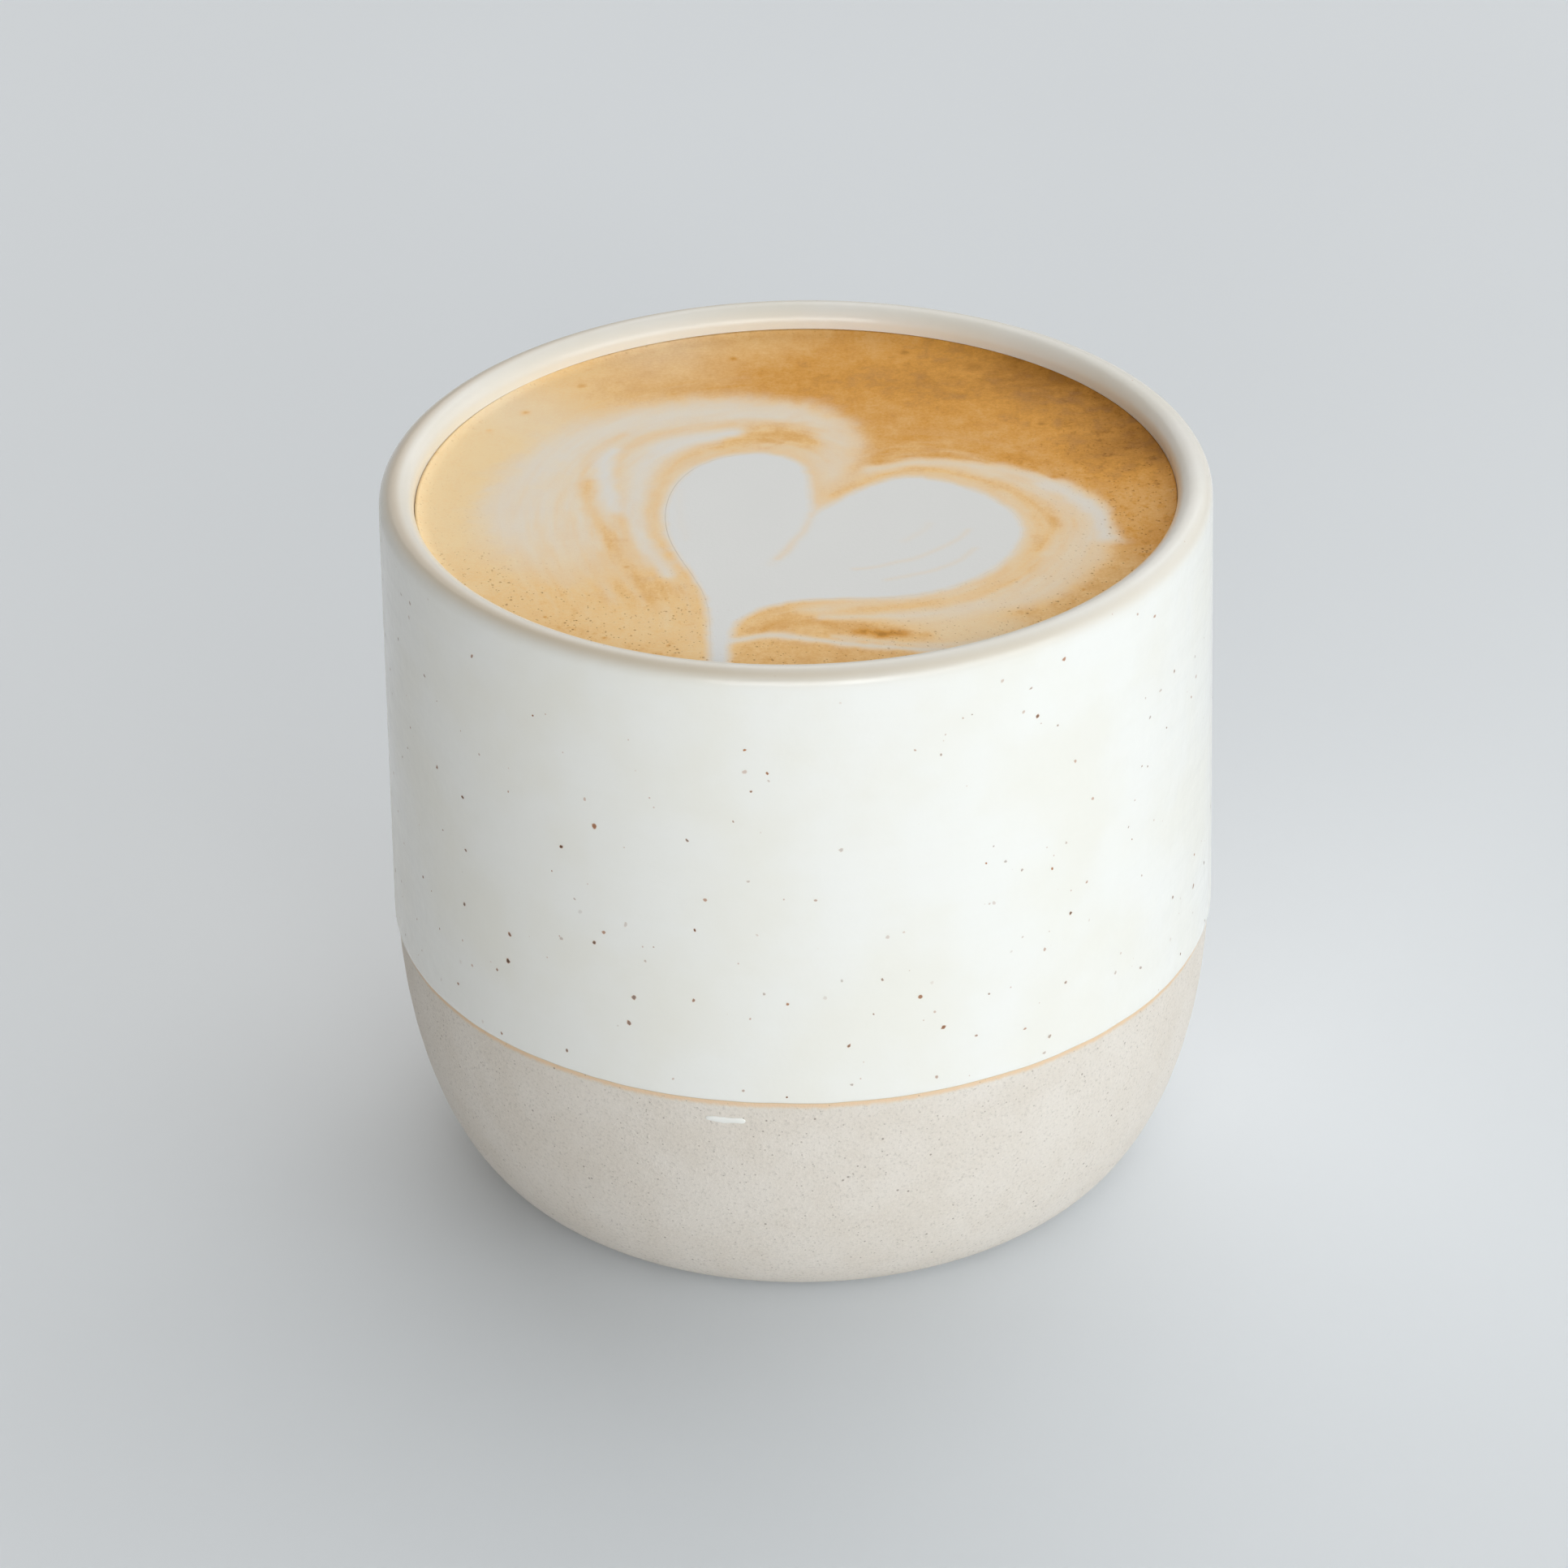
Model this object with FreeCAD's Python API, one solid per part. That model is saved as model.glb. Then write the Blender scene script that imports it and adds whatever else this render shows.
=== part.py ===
"""A cortado in its stoneware cup: a handle-less tumbler, filled to just below the rim.

Three pieces, each a solid of its own:
  cup         one turned piece of stoneware, glazed above a line and bare clay below it
  drink       the coffee with its crema, from the cup's floor up to the level
  milk_heart  the poured heart of milk foam, let into the drink and flush with its top

Millimetres, +Z up. The origin is on the table, under the cup's axis. The heart's tail
points to -Y, where the cup is drunk from.
"""
import FreeCAD, Part
import math
import os

Vector = FreeCAD.Vector

# --- cup, outside -----------------------------------------------------------------
rim_diameter = 74.0         # over the outside, just below the rounded rim
belly_diameter = 74.6       # where the straight wall turns into the rounded bottom
height = 67.2
belly_height = 26.0         # the wall is straight above this and an ellipse below it
foot_diameter = 52.2        # the flat that the cup stands on

# --- cup, wall and foot -----------------------------------------------------------
rim_thickness = 3.1         # the rim is a full half round
wall = 4.2                  # at the belly: a thrown wall thickens downwards
floor_thickness = 5.4       # clay between the foot's recess and the drink
corner_height = 20.0        # how far the curve of the inner corner climbs the wall
corner_width = 12.0         # how far it reaches in over the floor
foot_ring_width = 4.0
foot_recess = 1.4           # height of the hollow inside the foot ring
foot_recess_slope = 1.6     # width of the ring's sloping inner side

# --- glaze ------------------------------------------------------------------------
glaze_line_height = 24.8    # below this the clay is bare
glaze_thickness = 0.25

# --- drink ------------------------------------------------------------------------
level_below_rim = 2.3
drink_clearance = 0.1       # between the drink and the cup's inner side
meniscus_rise = 0.3         # the drink climbs the wall by this much
meniscus_width = 1.3

# --- milk heart, seen from above --------------------------------------------------
heart_depth = 1.5
heart_clearance = 0.06
notch_x = 1.4               # the point where the two lobes meet
notch_y = -3.7
left_lobe_width = 12.9
left_lobe_rise = 12.6       # from the notch to the lobe's top
right_lobe_width = 18.4
right_lobe_rise = 7.2
heart_drop = 16.0           # from the notch to the lower edge, beside the tail
tail_x = -6.9
tail_width = 1.2            # where it ends, at the foot of the meniscus

# --- worked out from the above ----------------------------------------------------
rim_radius = rim_diameter / 2
belly_radius = belly_diameter / 2
foot_radius = foot_diameter / 2
rim_round = rim_thickness / 2
rim_base = height - rim_round
floor_height = foot_recess + floor_thickness
level = height - level_below_rim


def at(radius, z):
    """A point of a turned profile, in the XZ plane."""
    return Vector(radius, 0, z)


def along_wall(z, at_belly, at_rim):
    """The value at height z of what goes evenly from at_belly up to at_rim."""
    share = (z - belly_height) / (rim_base - belly_height)
    return at_belly + share * (at_rim - at_belly)


def bottom_angle(z):
    """How far round the bottom's quarter ellipse the height z lies: 90 at the belly."""
    return math.degrees(math.acos((belly_height - z) / belly_height))


def outer_radius(z, inset):
    """Outer radius at height z, of a surface that lies inset under the glaze's face."""
    if z >= belly_height:
        return along_wall(z, belly_radius, rim_radius) - inset
    half_width = belly_radius - inset - foot_radius
    return foot_radius + half_width * math.sin(math.radians(bottom_angle(z)))


def inner_radius(z):
    """Radius of the cup's inner side at height z, above its rounded corner."""
    return along_wall(z, belly_radius - wall, rim_radius - rim_thickness)


def line(start, end):
    return Part.LineSegment(start, end).toShape()


def arc(start, through, end):
    return Part.Arc(start, through, end).toShape()


def bottom_curve(centre, half_width, half_height, low, high):
    """Part of a quarter ellipse, from straight down (0 degrees) to straight out (90)."""
    down = centre + Vector(0, 0, -half_height)
    out = centre + Vector(half_width, 0, 0)
    if half_height > half_width:
        ellipse = Part.Ellipse(down, out, centre)
        first, last = low, high
    else:
        ellipse = Part.Ellipse(out, down, centre)
        first, last = 90 - high, 90 - low
    return Part.ArcOfEllipse(ellipse, math.radians(first), math.radians(last)).toShape()


def turned(edges):
    """The solid that a closed profile sweeps in one turn about the Z axis."""
    face = Part.Face(Part.Wire(Part.__sortEdges__(edges)))
    return face.revolve(Vector(0, 0, 0), Vector(0, 0, 1), 360)


def outside_profile(inset, low, high):
    """Edges of the cup's outside between two heights, inset under the glaze's face."""
    edges = []
    if low < belly_height:
        centre = at(foot_radius, belly_height)
        half_width = belly_radius - inset - foot_radius
        top_angle = bottom_angle(min(high, belly_height))
        edges.append(bottom_curve(centre, half_width, belly_height, bottom_angle(low), top_angle))
    if high > belly_height:
        start = max(low, belly_height)
        edges.append(line(at(outer_radius(start, inset), start), at(outer_radius(high, inset), high)))
    return edges


def inside_profile(gap, top):
    """Edges of the cup's inner side, moved in by gap, from the axis up to the height top."""
    corner_top = floor_height + corner_height
    radius = inner_radius(corner_top) - gap
    low = floor_height + gap
    flat = radius - corner_width
    return [
        line(at(0, low), at(flat, low)),
        bottom_curve(at(flat, corner_top), corner_width, corner_top - low, 0, 90),
        line(at(radius, corner_top), at(inner_radius(top) - gap, top)),
    ]


def make_cup():
    """The whole cup, turned in one piece, with the glaze's edge as a low lip on the clay."""
    lip_top = glaze_line_height + glaze_thickness
    clay_radius = outer_radius(glaze_line_height, glaze_thickness)
    half_lip = glaze_thickness * math.sqrt(0.5)
    lip = arc(at(clay_radius, glaze_line_height), at(clay_radius + half_lip, lip_top - half_lip),
              at(outer_radius(lip_top, 0), lip_top))
    rim = arc(at(rim_radius, rim_base), at(rim_radius - rim_round, height),
              at(inner_radius(rim_base), rim_base))
    ring_inside = foot_radius - foot_ring_width
    recess_edge = ring_inside - foot_recess_slope
    underside = [
        line(at(0, floor_height), at(0, foot_recess)),
        line(at(0, foot_recess), at(recess_edge, foot_recess)),
        line(at(recess_edge, foot_recess), at(ring_inside, 0)),
        line(at(ring_inside, 0), at(foot_radius, 0)),
    ]
    clay = outside_profile(glaze_thickness, 0, glaze_line_height)
    glaze = outside_profile(0, lip_top, rim_base)
    return turned(underside + clay + [lip] + glaze + [rim] + inside_profile(0, rim_base))


def heart_outline(tail_reach):
    """Closed outline of the heart: a curve round each lobe, which meet in the notch, and the
    blunt end of the tail at the distance tail_reach from the cup's axis."""
    notch = Vector(notch_x, notch_y, 0)
    tail_top = notch_y - heart_drop
    tail_foot = -math.sqrt(tail_reach ** 2 - tail_x ** 2)

    def left(across, along):
        """A place on the left lobe, as shares of its width and its rise from the notch."""
        return notch + Vector(-across * left_lobe_width, along * left_lobe_rise, 0)

    def right(across, along):
        """A place on the right lobe, likewise."""
        return notch + Vector(across * right_lobe_width, along * right_lobe_rise, 0)

    def tail(widths, share):
        """A place beside the tail: so many widths from its middle, as a share of its length."""
        return Vector(tail_x + widths * tail_width, tail_top + share * (tail_foot - tail_top), 0)

    left_side = [
        notch, left(0.03, 0.55), left(0.12, 0.88), left(0.39, 1.0), left(0.76, 0.84),
        left(0.98, 0.36), left(0.95, -0.40), tail(-1.0, -0.12), tail(-0.6, 0.40),
        tail(-0.5, 1.0),
    ]
    right_side = [
        notch, right(0.18, 0.57), right(0.43, 1.0), right(0.78, 0.64), right(1.0, -0.42),
        right(0.82, -1.52), right(0.42, -2.10), tail(4.1, 0.01), tail(1.5, 0.22),
        tail(0.6, 0.62), tail(0.5, 1.0),
    ]
    edges = [line(left_side[-1], right_side[-1])]
    for points in (left_side, right_side):
        curve = Part.BSplineCurve()
        curve.interpolate(points)
        edges.append(curve.toShape())
    return Part.Wire(Part.__sortEdges__(edges))


def heart_block(depth, inset):
    """The heart as a block that reaches from the level down by the given depth, with its
    outline moved in by inset."""
    tail_reach = inner_radius(level) - drink_clearance - meniscus_width
    face = Part.Face(heart_outline(tail_reach))
    if inset > 0:
        face = face.makeOffset2D(-inset).toNurbs()
    block = face.extrude(Vector(0, 0, depth))
    block.translate(Vector(0, 0, level - depth))
    return block


def make_drink():
    """Everything under the level: it fills the cup and climbs the wall in a fine meniscus,
    and has a hollow where the heart lies."""
    wall_top = level + meniscus_rise
    edge = inner_radius(wall_top) - drink_clearance
    foot = inner_radius(level) - drink_clearance - meniscus_width
    halfway = at(foot + meniscus_width * 0.6, level + meniscus_rise * 0.3)
    top = [
        arc(at(edge, wall_top), halfway, at(foot, level)),
        line(at(foot, level), at(0, level)),
        line(at(0, level), at(0, floor_height + drink_clearance)),
    ]
    body = turned(inside_profile(drink_clearance, wall_top) + top)
    return body.cut(heart_block(heart_depth, 0))


def make_milk_heart():
    """The foam itself: the hollow's own outline, a clearance smaller on every side."""
    return heart_block(heart_depth - heart_clearance, heart_clearance)


pieces = {
    "cup": make_cup(),
    "drink": make_drink(),
    "milk_heart": make_milk_heart(),
}

os.makedirs("parts", exist_ok=True)
for name, shape in pieces.items():
    solid = shape.Solids[0]
    solid.exportStep(os.path.join("parts", name + ".step"))
    print(name, "solids", len(shape.Solids), "valid", shape.isValid(),
          "volume %.2f cm3" % (shape.Volume / 1000))
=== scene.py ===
"""A cortado in its speckled stoneware cup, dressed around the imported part.

Every piece is a surface worked out from sizes in metres, in the part's own frame: +Z up, the
origin on the table under the cup's axis, and the heart's tail towards -Y.
"""

import itertools
import math

import bpy
import numpy as np
from bpy.props import FloatProperty, FloatVectorProperty, IntProperty, PointerProperty
from mathutils import Matrix, Vector


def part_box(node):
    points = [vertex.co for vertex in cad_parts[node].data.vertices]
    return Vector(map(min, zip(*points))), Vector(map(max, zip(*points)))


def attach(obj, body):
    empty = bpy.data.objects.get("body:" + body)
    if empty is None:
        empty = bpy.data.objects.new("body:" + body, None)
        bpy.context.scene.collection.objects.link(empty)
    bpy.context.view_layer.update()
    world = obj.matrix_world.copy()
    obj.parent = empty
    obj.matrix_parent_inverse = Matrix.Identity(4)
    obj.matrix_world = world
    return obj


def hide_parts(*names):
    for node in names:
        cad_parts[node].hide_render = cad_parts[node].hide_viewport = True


bl_info = {
    "name": "Cortado in a stoneware cup",
    "version": (1, 0, 0),
    "blender": (4, 5, 0),
    "location": "3D Viewport > Sidebar > Cortado",
    "description": "Builds the cup, its glaze, the drink and the stage around the part's frame",
    "category": "Object",
}

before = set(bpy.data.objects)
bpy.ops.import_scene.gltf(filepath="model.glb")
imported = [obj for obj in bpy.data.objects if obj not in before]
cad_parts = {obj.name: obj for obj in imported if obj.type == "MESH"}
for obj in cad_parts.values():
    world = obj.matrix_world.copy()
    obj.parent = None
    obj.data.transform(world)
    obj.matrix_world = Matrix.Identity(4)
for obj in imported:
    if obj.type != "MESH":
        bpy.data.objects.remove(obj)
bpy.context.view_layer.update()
CUP_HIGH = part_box("cup")[1]
HEART_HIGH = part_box("milk_heart")[1]

MM = 0.001
TURN = 2 * math.pi
LATTICE = 64                                # corners along a side of the noise table
NO_TRIANGLES = np.zeros((0, 3), int)


# --- sizes and colours that a user may change -------------------------------------------------
def length(name, description, default, largest=0.2):
    """A size in metres for a settings group."""
    return FloatProperty(name=name, description=description, default=default, min=0.0,
                         max=largest, precision=5, unit="LENGTH", subtype="DISTANCE")


def share(name, description, default, largest=1.0):
    """A plain number from nought up for a settings group."""
    return FloatProperty(name=name, description=description, default=default, min=0.0,
                         max=largest, subtype="FACTOR" if largest == 1.0 else "NONE")


def colour(name, description, default):
    """A linear colour for a settings group."""
    return FloatVectorProperty(name=name, description=description, default=default, size=3,
                               min=0.0, max=1.0, subtype="COLOR")


class CupSizes(bpy.types.PropertyGroup):
    """The thrown cup."""
    belly_radius: length("Belly radius", "Where the straight wall meets the rounded bottom",
                         CUP_HIGH.x)
    rim_radius: length("Rim radius", "Outside, just below the rounded rim", 0.0370)
    height: length("Height", "From the table to the top of the rim", CUP_HIGH.z)
    belly_height: length("Belly height", "Height of the widest place", 0.0260)
    foot_radius: length("Foot radius", "Outside of the flat foot ring", 0.0261)
    rim_thickness: length("Rim thickness", "Width of the half-round rim", 0.0031)
    wall: length("Wall", "Thickness at the belly", 0.0042)
    floor_height: length("Floor height", "Top of the cup's floor inside", 0.0068)
    corner_height: length("Corner height", "Climb of the inner corner up the wall", 0.0200)
    corner_width: length("Corner width", "Reach of the inner corner over the floor", 0.0120)
    ring_width: length("Ring width", "Width of the foot ring", 0.0040)
    recess: length("Recess", "Height of the hollow inside the foot ring", 0.0014)
    recess_slope: length("Recess slope", "Width of the ring's sloping inner side", 0.0016)
    unevenness: length("Unevenness", "How far the thrown wall strays from its round", 0.00006)
    segments: IntProperty(name="Segments", description="Steps round the cup", default=560,
                          min=24, max=600)


class GlazeSettings(bpy.types.PropertyGroup):
    """The glaze and its specks."""
    line_height: length("Line height", "Lower edge of the glaze", 0.0248)
    thickness: length("Thickness", "Glaze over the clay", 0.00025)
    edge_wave: length("Edge wave", "How far the glaze's edge wanders", 0.00010)
    edge_round: length("Edge round", "Height over which the edge rounds off", 0.00030)
    speck_count: IntProperty(name="Specks", description="Iron specks scattered in the glaze",
                             default=340, min=0, max=900)
    speck_radius: length("Speck radius", "Middle size of an iron speck with its halo", 0.00017)
    dash_height: length("Dash height", "Where the dash of glaze lies", 0.02275)
    dash_length: length("Dash length", "Length of the dash of glaze", 0.0036)
    dash_width: length("Dash width", "Width of the dash of glaze", 0.00062)
    white: colour("Glaze", "Cream-white glaze", (0.86, 0.858, 0.825))
    iron: colour("Iron", "Darkest iron specks", (0.090, 0.036, 0.016))
    rust: colour("Rust", "Rust-brown specks", (0.40, 0.145, 0.045))
    halo: colour("Halo", "Rusty edge of every speck", (0.52, 0.28, 0.14))
    # colour of the thin glaze: partly the glaze breaking over the rim, partly painted shade on the
    # rim
    thin_and_shade: colour("Thin glaze", "Where the glaze breaks over the rim", (0.645, 0.555, 0.43))
    roughness: share("Roughness", "Roughness of the satin glaze", 0.22)


class ClaySettings(bpy.types.PropertyGroup):
    """The bare clay below the glaze."""
    body: colour("Clay", "Sandy bare clay", (0.748, 0.695, 0.632))
    shade: colour("Clay shade", "Darker patches of the clay", (0.71, 0.65, 0.578))
    grain: colour("Grain", "Fine dark grains", (0.17, 0.125, 0.095))
    toast: colour("Toasted line", "Orange flash beside the glaze", (0.77, 0.57, 0.38))
    toast_width: length("Toasted width", "Width of the orange flash", 0.00062)
    roughness: share("Roughness", "Roughness of the bare clay", 0.82)


class DrinkSettings(bpy.types.PropertyGroup):
    """The coffee with its crema and the poured milk."""
    level: length("Level", "Height of the drink's face", HEART_HIGH.z)
    clearance: length("Clearance", "Between the drink and the cup", 0.0001)
    meniscus_rise: length("Meniscus rise", "How far the drink climbs the wall", 0.0003)
    meniscus_width: length("Meniscus width", "Width of the climbing edge", 0.0013)
    milk: colour("Milk", "Fine milk foam", (0.825, 0.835, 0.835))
    pale: colour("Pale crema", "Thinnest crema", (0.97, 0.745, 0.44))
    gold: colour("Golden crema", "Golden crema", (0.95, 0.635, 0.30))
    amber: colour("Amber crema", "Full crema", (0.76, 0.365, 0.075))
    # brown also paints the wall's shadow along the back-right of the drink
    brown: colour("Brown crema", "Darkest crema at the wall", (0.385, 0.165, 0.026))
    roughness: share("Roughness", "Roughness of the foam", 0.58)
    heart_depth: length("Heart depth", "Thickness of the poured milk", 0.0015)
    steps: IntProperty(name="Steps", description="Grid steps across the drink", default=290,
                       min=24, max=310)


class StageSettings(bpy.types.PropertyGroup):
    """Floor, light and camera."""
    floor: colour("Floor", "Pale floor", (0.77, 0.81, 0.855))
    backdrop: colour("Backdrop", "What lies beyond the floor", (0.60, 0.62, 0.64))
    floor_size: length("Floor size", "Side of the floor", 4.0, 10.0)
    world_all_round: share("World all round", "Even light of the world", 0.02)
    world_right: share("World right", "More of the world's light from the right", 0.65)
    world_back: share("World back", "More of the world's light from the back", 0.66)
    lens: FloatProperty(name="Lens", description="Focal length in millimetres", default=167.531)
    elevation: FloatProperty(name="Elevation", description="Camera height above the horizon",
                             default=math.radians(29.488), subtype="ANGLE")
    roll: FloatProperty(name="Roll", description="Camera roll", default=math.radians(-1.1253),
                        subtype="ANGLE")
    distance: length("Distance", "From the aim point to the camera", 0.66183, 5.0)
    aim: FloatVectorProperty(name="Aim", description="Point that the camera looks at",
                             default=(-0.0015548, 0.0, 0.0358425), size=3, subtype="XYZ",
                             unit="LENGTH", precision=5)


# --- meshes -----------------------------------------------------------------------------------
def smooth_noise(points, cell, seed):
    """Noise between -1 and 1: random values at the corners of a lattice with spacing cell,
    blended inside each cell with the ease 6t^5 - 15t^4 + 10t^3 along every axis."""
    axes = points.shape[-1]
    values = np.random.default_rng(seed).uniform(-1, 1, (LATTICE,) * axes)
    place = points / cell
    low = np.floor(place).astype(int)
    ease = place - low
    ease = ease ** 3 * (ease * (6 * ease - 15) + 10)
    total = np.zeros(points.shape[:-1])
    for corner in itertools.product((0, 1), repeat=axes):
        weight = np.prod(np.where(corner, ease, 1 - ease), axis=-1)
        total += weight * values[tuple(np.moveaxis((low + corner) % LATTICE, -1, 0))]
    return total


def smooth_step(low, high, value):
    """0 below low, 1 above high, and 3t^2 - 2t^3 between them."""
    t = np.clip((value - low) / (high - low), 0, 1)
    return t * t * (3 - 2 * t)


def grid_faces(rows, columns, wrap, first=0):
    """Quads between neighbouring rows of a grid whose vertices run row by row."""
    row = np.arange(rows - 1)[:, None]
    column = np.arange(columns if wrap else columns - 1)[None, :]
    after = (column + 1) % columns
    corners = (row * columns + column, row * columns + after,
               (row + 1) * columns + after, (row + 1) * columns + column)
    return np.stack(corners, -1).reshape(-1, 4) + first


def fan_faces(ring, pole, turned):
    """Triangles between a closed ring of vertices and one pole vertex."""
    after = np.roll(ring, -1)
    pair = (after, ring) if turned else (ring, after)
    return np.stack(pair + (np.full_like(ring, pole),), -1)


def lower_side(inner):
    """The vertices under those of a sheet: new ones, numbered after the sheet's own, where inner
    is true, and the sheet's own along its closed border."""
    below = np.arange(len(inner))
    below[inner] = len(inner) + np.arange(inner.sum())
    return below


def two_faced(top, bottom, inner, faces):
    """Vertices and quads of a thin closed body from a sheet's upper places, the lower places
    under its inner vertices, and the sheet's faces as they are seen from below."""
    return (np.concatenate([top, bottom]),
            np.concatenate([faces[:, ::-1], lower_side(inner)[faces]]))


def make_piece(name, vertices, quads, triangles, material, values=()):
    """A smooth-shaded mesh object at the origin from whole arrays; values maps attribute names
    to one number per vertex."""
    mesh = bpy.data.meshes.new(name)
    corners = np.concatenate([quads.ravel(), triangles.ravel()]).astype(np.int32)
    sizes = np.concatenate([np.full(len(quads), 4), np.full(len(triangles), 3)])
    starts = np.concatenate([[0], np.cumsum(sizes)[:-1]]).astype(np.int32)
    mesh.vertices.add(len(vertices))
    mesh.vertices.foreach_set("co", vertices.astype(np.float32).ravel())
    mesh.loops.add(len(corners))
    mesh.loops.foreach_set("vertex_index", corners)
    mesh.polygons.add(len(sizes))
    mesh.polygons.foreach_set("loop_start", starts)
    mesh.polygons.foreach_set("use_smooth", np.ones(len(sizes), dtype=bool))
    mesh.update(calc_edges=True)
    if mesh.validate():
        raise RuntimeError(f"{name} has faces that Blender had to mend")
    for label, numbers in dict(values).items():
        attribute = mesh.attributes.new(label, "FLOAT", "POINT")
        attribute.data.foreach_set("value", numbers.astype(np.float32))
    mesh.materials.append(material)
    piece = bpy.data.objects.new(name, mesh)
    bpy.context.collection.objects.link(piece)
    return piece


# --- the cup's form ---------------------------------------------------------------------------
def along_wall(cup, height, at_belly, at_rim):
    """What goes evenly from at_belly at the belly to at_rim at the foot of the rim's round."""
    rim_base = cup.height - cup.rim_thickness / 2
    return at_belly + (height - cup.belly_height) / (rim_base - cup.belly_height) * (
        at_rim - at_belly)


def outer_radius(cup, height, inset):
    """Outside of the cup, inset under the glaze's face: an even taper above the belly, and
    below it the quarter ellipse foot + half_width * sqrt(1 - ((belly - z) / belly)^2)."""
    depth = np.clip((cup.belly_height - height) / cup.belly_height, 0, 1)
    half_width = cup.belly_radius - inset - cup.foot_radius
    low = cup.foot_radius + half_width * np.sqrt(1 - depth ** 2)
    high = along_wall(cup, height, cup.belly_radius, cup.rim_radius) - inset
    return np.where(height < cup.belly_height, low, high)


def inner_radius(cup, height):
    """Inner side of the cup above its rounded corner: an even taper."""
    return along_wall(cup, height, cup.belly_radius - cup.wall,
                      cup.rim_radius - cup.rim_thickness)


def inside_path(cup, gap, steps):
    """Radius and height from the foot of the rim's round down the inner wall, round the corner's
    quarter ellipse and over the floor to the axis, moved out of the clay by gap. The steps are
    those of the wall, the corner and the floor."""
    steps_up, steps_corner, steps_floor = steps
    rim_base = cup.height - cup.rim_thickness / 2
    corner_top = cup.floor_height + cup.corner_height
    radius = inner_radius(cup, corner_top) - gap
    low = cup.floor_height + gap
    heights = np.linspace(rim_base, corner_top, steps_up, endpoint=False)
    turn = np.linspace(math.pi / 2, 0, steps_corner, endpoint=False)
    corner_radius = radius - cup.corner_width + cup.corner_width * np.sin(turn)
    corner_z = corner_top - (corner_top - low) * np.cos(turn)
    floor_radius = np.linspace(radius - cup.corner_width, 0, steps_floor)
    return (np.concatenate([inner_radius(cup, heights) - gap, corner_radius, floor_radius]),
            np.concatenate([heights, corner_z, np.full(steps_floor, low)]))


# The hand in the cup: spacing of the throwing rings, how fast they drift up the wall, height
# over which the unevenness starts, and spacings of the slow and the quick wave of the edge.
RING_SPACING, RING_DRIFT, EVEN_FOOT = 3.4 * MM, 11 * MM, 6 * MM
SLOW_WAVE, QUICK_WAVE = 9 * MM, 2.2 * MM


def glaze_edge(cup, glaze, angle):
    """Height of the glaze's lower edge round the cup: the line plus a slow and a quick wave."""
    ring = np.stack([np.cos(angle), np.sin(angle)], -1) * cup.belly_radius
    slow = smooth_noise(ring + 0.31, SLOW_WAVE, 11)
    quick = smooth_noise(ring + 0.17, QUICK_WAVE, 12)
    return glaze.line_height + glaze.edge_wave * (0.8 * slow + 0.45 * quick)


def thrown(cup, radius, height, angle):
    """The radius with the hand's unevenness taken off it: two slow waves round the cup that turn
    with height, and shallow throwing rings that climb it."""
    drift = 0.7 * np.sin(angle) + 2.2 * np.sin(height / RING_DRIFT)
    rings = np.sin(TURN * height / RING_SPACING + drift)
    slow = 0.5 * np.cos(2 * angle + 1.1 + height / (30 * MM)) + 0.3 * np.cos(3 * angle - 0.4)
    fade = smooth_step(0.0, EVEN_FOOT, height)
    return radius - cup.unevenness * fade * (1.05 + 0.16 * rings + slow)


def turned_points(cup, radius, height, angle):
    """Points (r cos a, r sin a, z) of a turned surface, row by row, for arrays that broadcast to
    rows by columns."""
    angle = np.broadcast_to(angle, np.broadcast(radius, height, angle).shape)
    height = np.broadcast_to(height, angle.shape)
    radius = thrown(cup, np.broadcast_to(radius, angle.shape), height, angle)
    return np.stack([radius * np.cos(angle), radius * np.sin(angle), height], -1)


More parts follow.
